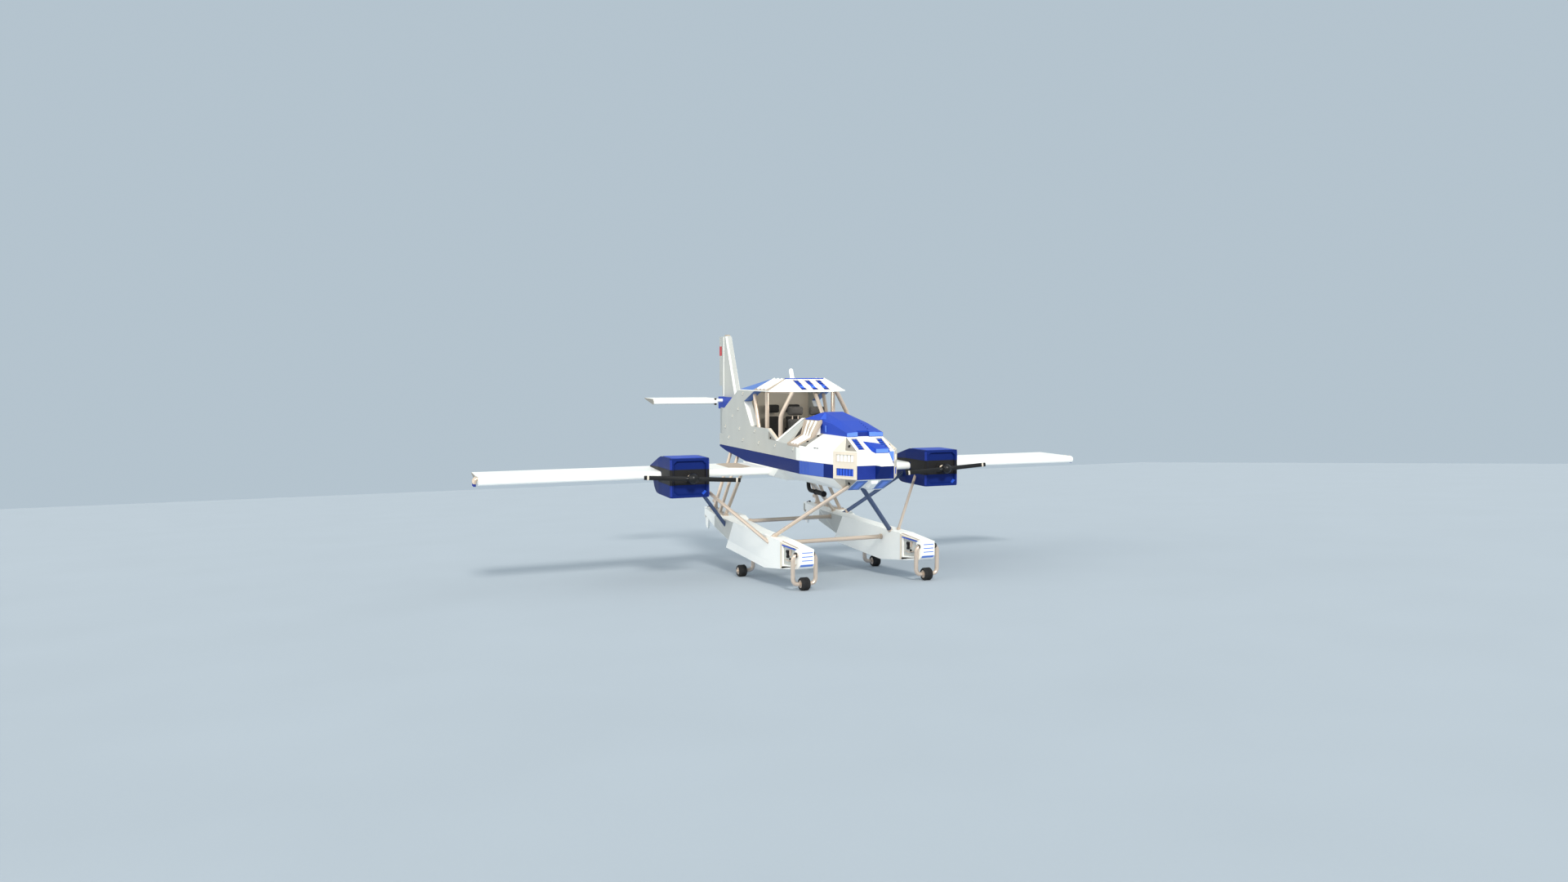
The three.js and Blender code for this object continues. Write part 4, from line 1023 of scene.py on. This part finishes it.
def stern_plates(shape):
    for z in (-1.02, -1.186):
        levels = (z, z + 0.01)
        shape.hull(corners((-2.59,), (-0.055, 0.055), levels) + corners((-2.66,), (-0.05, 0.05), levels))
    for y in (-0.1152, 0.1152):
        shape.bar((-2.642, y, -1.085), UP, PORT, (0.15, 0.016, 0.03))


STARBOARD_DETAILS = [
    ("bow_frame", bow_frame, "cream", 0.002), ("bow_inner_strip", bow_inner, "white", 0.003),
    ("bow_rail", bow_rail, "slat", 0.003), ("bow_works", bow_works, "charcoal", 0.002),
    ("bow_works_light", bow_works_light, "beige", 0.003), ("bow_deck_strip", bow_deck_strip, "tan", 0.002),
    ("bow_recess", bow_recess, "white_painted_shade", 0.0), ("aft_side", aft_side, "white_painted_shade", 0.0),
]
FLOAT_DETAILS = [
    ("bow_face", bow_face, "white", 0.002), ("bow_face_slots", bow_face_slots, "pale", 0.001),
    ("bow_underside", bow_underside, "pale", 0.001), ("deck_fasteners", deck_fasteners, "white", 0.0),
    ("deck_tube", deck_tube, "beige", 0.0), ("stern_plates", stern_plates, "cream", 0.002),
]
TILLER_PLATE = [(-2.73, -1.06), (-2.95, -1.06), (-2.95, -1.22), (-2.87, -1.25), (-2.76, -1.15)]


def make_float_details():
    for tag, side in SIDES:
        centre = (0, side * FLOAT_Y, 0)
        for way, details in ((-1, STARBOARD_DETAILS), (1, FLOAT_DETAILS)):
            for name, draw, kind, bevel in details:
                drawn(draw).flipped(way).moved(centre).piece(f"{name}_{tag}", kind, bevel=bevel)
        sockets = drawn(hoop_sockets).moved((0, FLOAT_Y, 0)).flipped(side)
        sockets.piece(f"hoop_socket_{tag}", "black", bevel=0.002)
        body = f"water_rudder_{tag}"
        plate = Shape().panel([(x, 0.022, z) for x, z in TILLER_PLATE], 0.005, 0.002, PORT)
        plate.both().moved(centre).piece(f"tiller_plate_{tag}", "grey", body, bevel=0.001)
        pins = Shape().turned((-2.68, 0, -0.991), UP, [(0, 0.03), (0.012, 0.03), (0.02, 0.02)], 18)
        pins.turned((-2.80, 0, -1.034), UP, [(0, 0.016), (0.03, 0.016), (0.036, 0.01)], 14)
        pins.moved(centre).piece(f"tiller_pins_{tag}", "charcoal", body)


make_float_details()

# Wheels: they replace their plain solids, with tread blocks and hub caps
BORE = 0.027
TREAD_BLOCKS = 22
TREAD_FOOT = 0.104
TREAD_TOP = 0.1114
TREAD_ROWS = ((-0.060, -0.022, 0.0, 0.0105), (-0.007, 0.007, 0.5, 0.012), (0.022, 0.060, 0.0, 0.0105))
HALF_TYRE = [(0.070, 0.066), (0.0795, 0.076), (0.0795, 0.094), (0.068, 0.104), (0.052, 0.1065),
             (0.020, 0.1065), (0.018, 0.1035), (0.010, 0.1035), (0.008, 0.1065)]
# Each row: the wheel's place, the ways its axle ends, and the axle cap's profile
WHEELS = {
    "front": ((2.551, 1.187, -1.681), (1, -1),
              [(0.0805, 0.036), (0.088, 0.036), (0.092, 0.03), (0.0925, 0.0275)]),
    "rear": ((0.055, 1.426, -1.880), (1,),
             [(0.0885, 0.033), (0.0965, 0.033), (0.1025, 0.026), (0.1045, 0.012)]),
}


def tyre(shape):
    rows = [(-y, radius) for y, radius in HALF_TYRE] + HALF_TYRE[::-1]
    shape.turned((0, 0, 0), PORT, rows, 44)
    for low, high, shift, width in TREAD_ROWS:
        for angle in turns(TREAD_BLOCKS, shift):
            out = Vector((math.cos(angle), 0, math.sin(angle)))
            along = Vector((-math.sin(angle), 0, math.cos(angle)))
            points = []
            for reach, half, narrow in ((TREAD_FOOT, width, 1), (TREAD_TOP, width * 0.85, 0.97)):
                points += [out * reach + along * way * half + Vector((0, y * narrow, 0))
                           for way in (-1, 1) for y in (low, high)]
            shape.hull(points)


def hub(shape):
    for way in (1, -1):
        shape.ring((0, way * 0.068, 0), (0, way, 0), BORE, 0.066, 0.006, 32)
        shape.ring((0, way * 0.072, 0), (0, way, 0), BORE, 0.05, 0.007, 32)
        for angle in turns(6):
            spot = (0.058 * math.cos(angle), way * 0.073, 0.058 * math.sin(angle))
            shape.knob(spot, (0, way, 0), 0.0045, 0.005)


def make_wheels():
    for end, (at, ways, profile) in WHEELS.items():
        for tag, side in SIDES:
            name = f"{end}_wheel_{tag}"
            centre = (at[0], side * at[1], at[2])
            drawn(tyre).moved(centre).piece(f"tyre_{end}_{tag}", "tyre", name, replaces=(name,))
            drawn(hub).moved(centre).piece(f"hub_{end}_{tag}", "beige", name)
            cap = Shape()
            for way in ways:
                cap.turned((0, 0, 0), (0, way, 0), profile)
            cap.moved(at).flipped(side).piece(f"axle_cap_{end}_{tag}", "beige")


make_wheels()

# Struts that get collars at the deck: upper end, lower end and radius. The belly strut has one more above.
STRUTS = [
    ((0.123, 2.300, -0.155), (1.764, 1.016, -1.040), 0.028),
    ((-0.335, 2.300, -0.146), (-0.882, 1.139, -1.040), 0.040),
    ((2.612, -0.280, 0.020), (1.540, -1.413, -1.040), 0.034),
    ((2.573, -0.180, 0.020), (1.635, 0.953, -1.040), 0.042),
    ((0.811, -0.358, -0.060), (-1.306, 1.152, -1.040), 0.036),
]
BELLY_LEVEL = -0.15
FOOT_BOLTS = [(-2.29, 1.205), (-2.10, 1.215), (-1.60, 1.24), (-1.27, 1.262), (-2.29, 1.272), (-1.27, 1.328)]


def collar(shape, strut, level, way):
    upper, lower, radius = strut
    start = Vector(upper)
    run = (Vector(lower) - start).normalized()
    spot = start + run * ((level - start.z) / run.z)
    shape.ring(spot + run * way * 0.012, run * way, radius - 0.001, radius + 0.008, 0.04, 20)


def strut_collars():
    collars = Shape()
    for strut in STRUTS:
        collar(collars, strut, DECK, -1)
    collar(collars, STRUTS[-1], BELLY_LEVEL, 1)
    collars.piece("strut_collars", "beige", bevel=0.002)
    feet = Shape()
    for x, z in ((1.36, -1.165), (-0.935, -1.085)):
        for out in (1, -1):
            feet.ring((x, out * 0.862, z), (0, out, 0), 0.039, 0.05, 0.03, 20)
    feet.piece("cross_tube_collars", "beige", bevel=0.002)
    bolts = Shape()
    for x, y in FOOT_BOLTS:
        bolts.knob((x, y, -0.972), UP, 0.011, 0.012)
    bolts.pair("foot_plate_bolts", "steel")


strut_collars()

# Underside of the nose: framed panels and a small outlet block. Then the belly pipe's rims.
SLOPE_FOOT = 0.09
SLOPE_FALL = 0.23 / 0.44
NOSE_LOW_OUT = Vector((0.23, 0, -0.44)).normalized()
PIPE = (-0.12, -0.363)


def under_slope(x, y, rise=0.0):
    return Vector((x, y, SLOPE_FOOT - (NOSE_FRONT - x) * SLOPE_FALL)) + NOSE_LOW_OUT * rise


def nose_underside():
    # The framed panels on the nose's underside are painted blue-grey and pale blue: painted shade.
    for name, kind, x0, x1, half, rise, sink, bevel in (
        ("frames", "shade", 2.475, 2.835, 0.105, 0.008, 0.002, 0.002),
        ("panes", "pale", 2.53, 2.79, 0.05, 0.014, -0.004, 0.003),
    ):
        outlines = Shape()
        for y in (-0.235, 0.235):
            limits = rectangle(x0, x1, y - half, y + half)
            outlines.panel([under_slope(*spot) for spot in limits], rise, sink, NOSE_LOW_OUT)
        outlines.piece(f"nose_under_{name}", kind, bevel=bevel)
    outlet = Shape().hull([under_slope(x, way * y, rise) for x, y, rise in (
        (2.60, 0.075, 0), (2.84, 0.075, 0), (2.64, 0.055, 0.07), (2.80, 0.055, 0.05)) for way in (-1, 1)])
    outlet.piece("nose_outlet", "white", bevel=0.006)
    sleeve = Shape().ring((0.955, *PIPE), AHEAD, 0.0445, 0.056, 0.03)
    sleeve.ring((0.60, *PIPE), AHEAD, 0.0385, 0.052, 0.02)
    sleeve.piece("outlet_rims", "charcoal", bevel=0.002)


nose_underside()

# Cabin: instruments, yokes, floor mats
BOARD_X = 0.934
FLOOR = 0.150
GRIP = [(-0.13, 0.83), (-0.135, 0.77), (-0.10, 0.725), (0, 0.715), (0.10, 0.725), (0.135, 0.77), (0.13, 0.83)]


def cabin_details():
    bezels = Shape()
    glasses = Shape()
    for y in (-0.30, -0.17, 0.17, 0.30):
        for z in (0.80, 0.93):
            bezels.ring((BOARD_X + 0.001, y, z), (-1, 0, 0), 0.044, 0.055, 0.012, 28)
            glasses.turned((BOARD_X, y, z), (-1, 0, 0), [(0, 0.0445), (0.005, 0.0445), (0.006, 0.03)], 28)
    for shape, rear, front, half, low, high, inset in (
        (bezels, BOARD_X + 0.001, BOARD_X - 0.012, 0.10, 0.77, 0.97, 0.01),
        (glasses, BOARD_X - 0.010, BOARD_X - 0.015, 0.075, 0.795, 0.945, 0.005),
    ):
        small = half - inset
        shape.hull(corners((rear,), (-half, half), (low, high))
                   + corners((front,), (-small, small), (low + inset, high - inset)))
    bezels.piece("dial_rims", "steel")
    glasses.piece("dial_glasses", "glass")
    yokes = Shape()
    for y in (-0.23, 0.23):
        yokes.rod([(BOARD_X, y, 0.73), (0.80, y, 0.73), (0.72, y, 0.735)], 0.014, 12)
        yokes.rod([(0.715, y + across, z) for across, z in GRIP], 0.014, 12)
    yokes.piece("control_yokes", "charcoal")
    mats = Shape()
    for x0, x1 in ((-0.36, 0.90), (-1.32, -0.46)):
        mats.block((x0, -0.66, FLOOR + 0.0002), (x1, 0.66, FLOOR + 0.006))
        for i in range(24):
            y = -0.64 + i * 1.28 / 23
            mats.block((x0 + 0.02, y - 0.008, FLOOR + 0.0055), (x1 - 0.02, y + 0.008, FLOOR + 0.010))
    mats.piece("floor_mats", "charcoal")


cabin_details()

# Seats: padded cushions, backs and head rests on a frame
SEAT_HALF = 0.165
SEATS = [(f"{row}_{tag}", x, y) for row, x in (("front", -0.07), ("rear", -1.33))
         for tag, y in (("s", -0.23), ("p", 0.23))]
VOXEL = 0.009
SWELL_CAP = 0.012
PAD_INSET = 0.010
CLOTH_FRAMES = 20


def pad_outline(points):
    """A pad's starting block, a little smaller than the solid that it stands for."""
    middle = sum((Vector(p) for p in points), Vector()) / len(points)
    smaller = []
    for point in points:
        away = Vector(point) - middle
        smaller.append(middle + Vector([math.copysign(max(abs(v) - PAD_INSET, 0.01), v) for v in away]))
    return Shape().hull(smaller)


def evaluated(obj):
    return obj.evaluated_get(bpy.context.evaluated_depsgraph_get())


def filled(pad):
    """Where the pad's points come to lie when it is filled as cloth under pressure."""
    cloth = pad.modifiers.new("fill", "CLOTH")
    settings = cloth.settings
    settings.quality = 4
    settings.mass = 0.3
    settings.use_pressure = True
    settings.uniform_pressure_force = 4
    settings.effector_weights.gravity = 0
    settings.tension_stiffness = 15
    settings.compression_stiffness = 15
    settings.bending_stiffness = 0.5
    scene = bpy.context.scene
    for number in range(1, CLOTH_FRAMES + 1):
        scene.frame_set(number)
    moved = [v.co.copy() for v in evaluated(pad).data.vertices]
    pad.modifiers.clear()
    scene.frame_set(1)
    return moved


def stuffed(name, points, groove):
    """Rounds a pad's block, fills it and sews its channels."""
    shape = pad_outline(points)
    mesh = bpy.data.meshes.new(name)
    bmesh.ops.recalc_face_normals(shape.bm, faces=shape.bm.faces)
    shape.bm.to_mesh(mesh)
    shape.bm.free()
    pad = add_object(name, mesh)
    round_off = pad.modifiers.new("round", "BEVEL")
    round_off.width = 0.028
    round_off.segments = 4
    grid = pad.modifiers.new("grid", "REMESH")
    grid.mode = "VOXEL"
    grid.voxel_size = VOXEL
    shaped = bpy.data.meshes.new_from_object(evaluated(pad))
    pad.modifiers.clear()
    pad.data = shaped
    rest = [v.co.copy() for v in shaped.vertices]
    moved = filled(pad)
    normals = [v.normal.copy() for v in shaped.vertices]
    for vert, start, end, normal in zip(shaped.vertices, rest, moved, normals):
        step = end - start
        if step.length > SWELL_CAP:
            step = step * (SWELL_CAP / step.length)
        vert.co = start + step - normal * groove(start, normal)
    bpy.data.objects.remove(pad)
    return shaped


def line_dip(distance, depth=0.007, width=0.007):
    return depth * math.exp(-(distance / width) ** 2)


def cushion_groove(p, n):
    if n.z < 0.3:
        return line_dip(p.z - 0.51, 0.004)
    if p.x > 0.33:
        return line_dip(p.x - 0.345)
    return max(line_dip(abs(p.y) - 0.095), line_dip(p.x - 0.345))


def back_groove(p, n):
    if abs(n.x) < 0.5:
        return line_dip(p.x + 0.02 + (p.z - 0.48) * 0.11, 0.004)
    if n.x < 0:
        return line_dip(p.z - 0.60, 0.004)
    if abs(p.y) > 0.10:
        return line_dip(abs(p.y) - 0.105)
    return max(line_dip(abs(p.y) - 0.105), line_dip(p.z - 0.66), line_dip(p.z - 0.83))


def rest_groove(p, n):
    return line_dip(p.x + 0.085, 0.004) if abs(n.x) < 0.5 else 0.0


# Each pad: its corners seen from the side, and how deep its seams are at a point
PADS = {
    "cushion": ([(-0.06, 0.44), (0.42, 0.44), (-0.06, 0.58), (0.42, 0.58)], cushion_groove),
    "back": ([(-0.07, 0.50), (0.06, 0.50), (-0.13, 1.01), (-0.03, 1.01)], back_groove),
    "head_rest": ([(-0.14, 1.06), (-0.03, 1.06), (-0.14, 1.24), (-0.03, 1.24)], rest_groove),
}


def make_seats():
    for part, (rows, groove) in PADS.items():
        block = [(x, y, z) for x, z in rows for y in (-SEAT_HALF, SEAT_HALF)]
        master = stuffed(f"pad_{part}", block, groove)
        for tag, x, y in SEATS:
            mesh = master.copy()
            mesh.transform(AIR @ Matrix.Translation((x, y, 0)))
            mesh.name = f"seat_{tag}_{part}"
            pad = place(f"seat_{tag}_{part}", mesh, "seat", "airframe", sharp=180, replaces=(f"seat_{tag}",))
            smooth = pad.modifiers.new("smooth", "SUBSURF")
            smooth.levels = 1
            smooth.render_levels = 1
        bpy.data.meshes.remove(master)
    for tag, x, y in SEATS:
        base = Shape().hull(corners((-0.03, 0.33), (-0.115, 0.115), (FLOOR + 0.002,))
                            + corners((-0.05, 0.37), (-0.145, 0.145), (0.44,)))
        base.block((-0.05, -0.15, 0.425), (0.38, 0.15, 0.446))
        posts = Shape()
        for side in (-1, 1):
            base.bar((-0.062, side * 0.155, 0.60), (-0.1, 0, 1), AHEAD, (0.30, 0.035, 0.012))
            posts.rod([(-0.082, side * 0.06, 0.98), (-0.085, side * 0.06, 1.085)], 0.0085, 14)
            posts.ring((-0.082, side * 0.06, 1.003), UP, 0.0085, 0.016, 0.012, 16)
        base.moved((x, y, 0)).piece(f"seat_{tag}_base", "charcoal", bevel=0.008, replaces=(f"seat_{tag}",))
        posts.moved((x, y, 0)).piece(f"seat_{tag}_posts", "beige")


make_seats()

# Floor, light and colour management
FLOOR_REACH = 60.0
SKY = (0.46, 0.55, 0.62, 1)
SUN_DISTANCE = 20
# Each row: direction, colour, strength and spread in degrees
SUNS = {
    "key": ((0.85, -0.10, 0.50), (1.0, 0.98, 0.94), 2.6, 10),
    "fill_starboard": ((0.10, -0.97, 0.05), (1.0, 0.97, 0.91), 2.6, 100),
    "fill_port": ((0.10, 0.90, 0.40), (0.94, 0.97, 1.0), 0.6, 100),
    "fill_above": ((0, 0, 1), (0.98, 0.99, 1.0), 0.3, 120),
}


def make_stage():
    mesh = bpy.data.meshes.new("floor")
    limits = rectangle(-FLOOR_REACH, FLOOR_REACH, -FLOOR_REACH, FLOOR_REACH)
    mesh.from_pydata([(x, y, -0.001) for x, y in limits], [], [(0, 1, 2, 3)])
    mesh.materials.append(paint("floor_plain", "aab2b8", rough=0.9, spread=0.02, grain=30, patch=0.4))
    add_object("floor", mesh)
    world = bpy.data.worlds.new("studio")
    world.use_nodes = True
    set_inputs(world.node_tree.nodes["Background"], Color=SKY, Strength=1.0)
    bpy.context.scene.world = world


def lamp(name, data, colour, power, at, target):
    data.color = colour
    data.energy = power
    obj = add_object(name, data)
    obj.location = at
    obj.rotation_euler = (Vector(at) - Vector(target)).to_track_quat("Z", "Y").to_euler()
    return obj


def area(name, at, target, size, colour, power):
    data = bpy.data.lights.new(name, "AREA")
    data.shape = "SQUARE"
    data.size = size
    lamp(name, data, colour, power, at, target).visible_camera = False


make_stage()
for sun_name, (direction, colour, strength, spread) in SUNS.items():
    sun = bpy.data.lights.new(sun_name, "SUN")
    sun.angle = math.radians(spread)
    lamp(sun_name, sun, colour, strength, Vector(direction) * SUN_DISTANCE, (0, 0, 0))
area("fill_below", (0, 0, 0.05), (0, 0, 4), 16, (0.28, 0.50, 1.0), 120)
area("fill_cabin", AIR @ Vector((0.25, 0, 1.45)), AIR @ Vector((-1.6, 0, 0.75)), 0.5, (1.0, 0.97, 0.92), 7)
bpy.context.scene.view_settings.view_transform = "Standard"
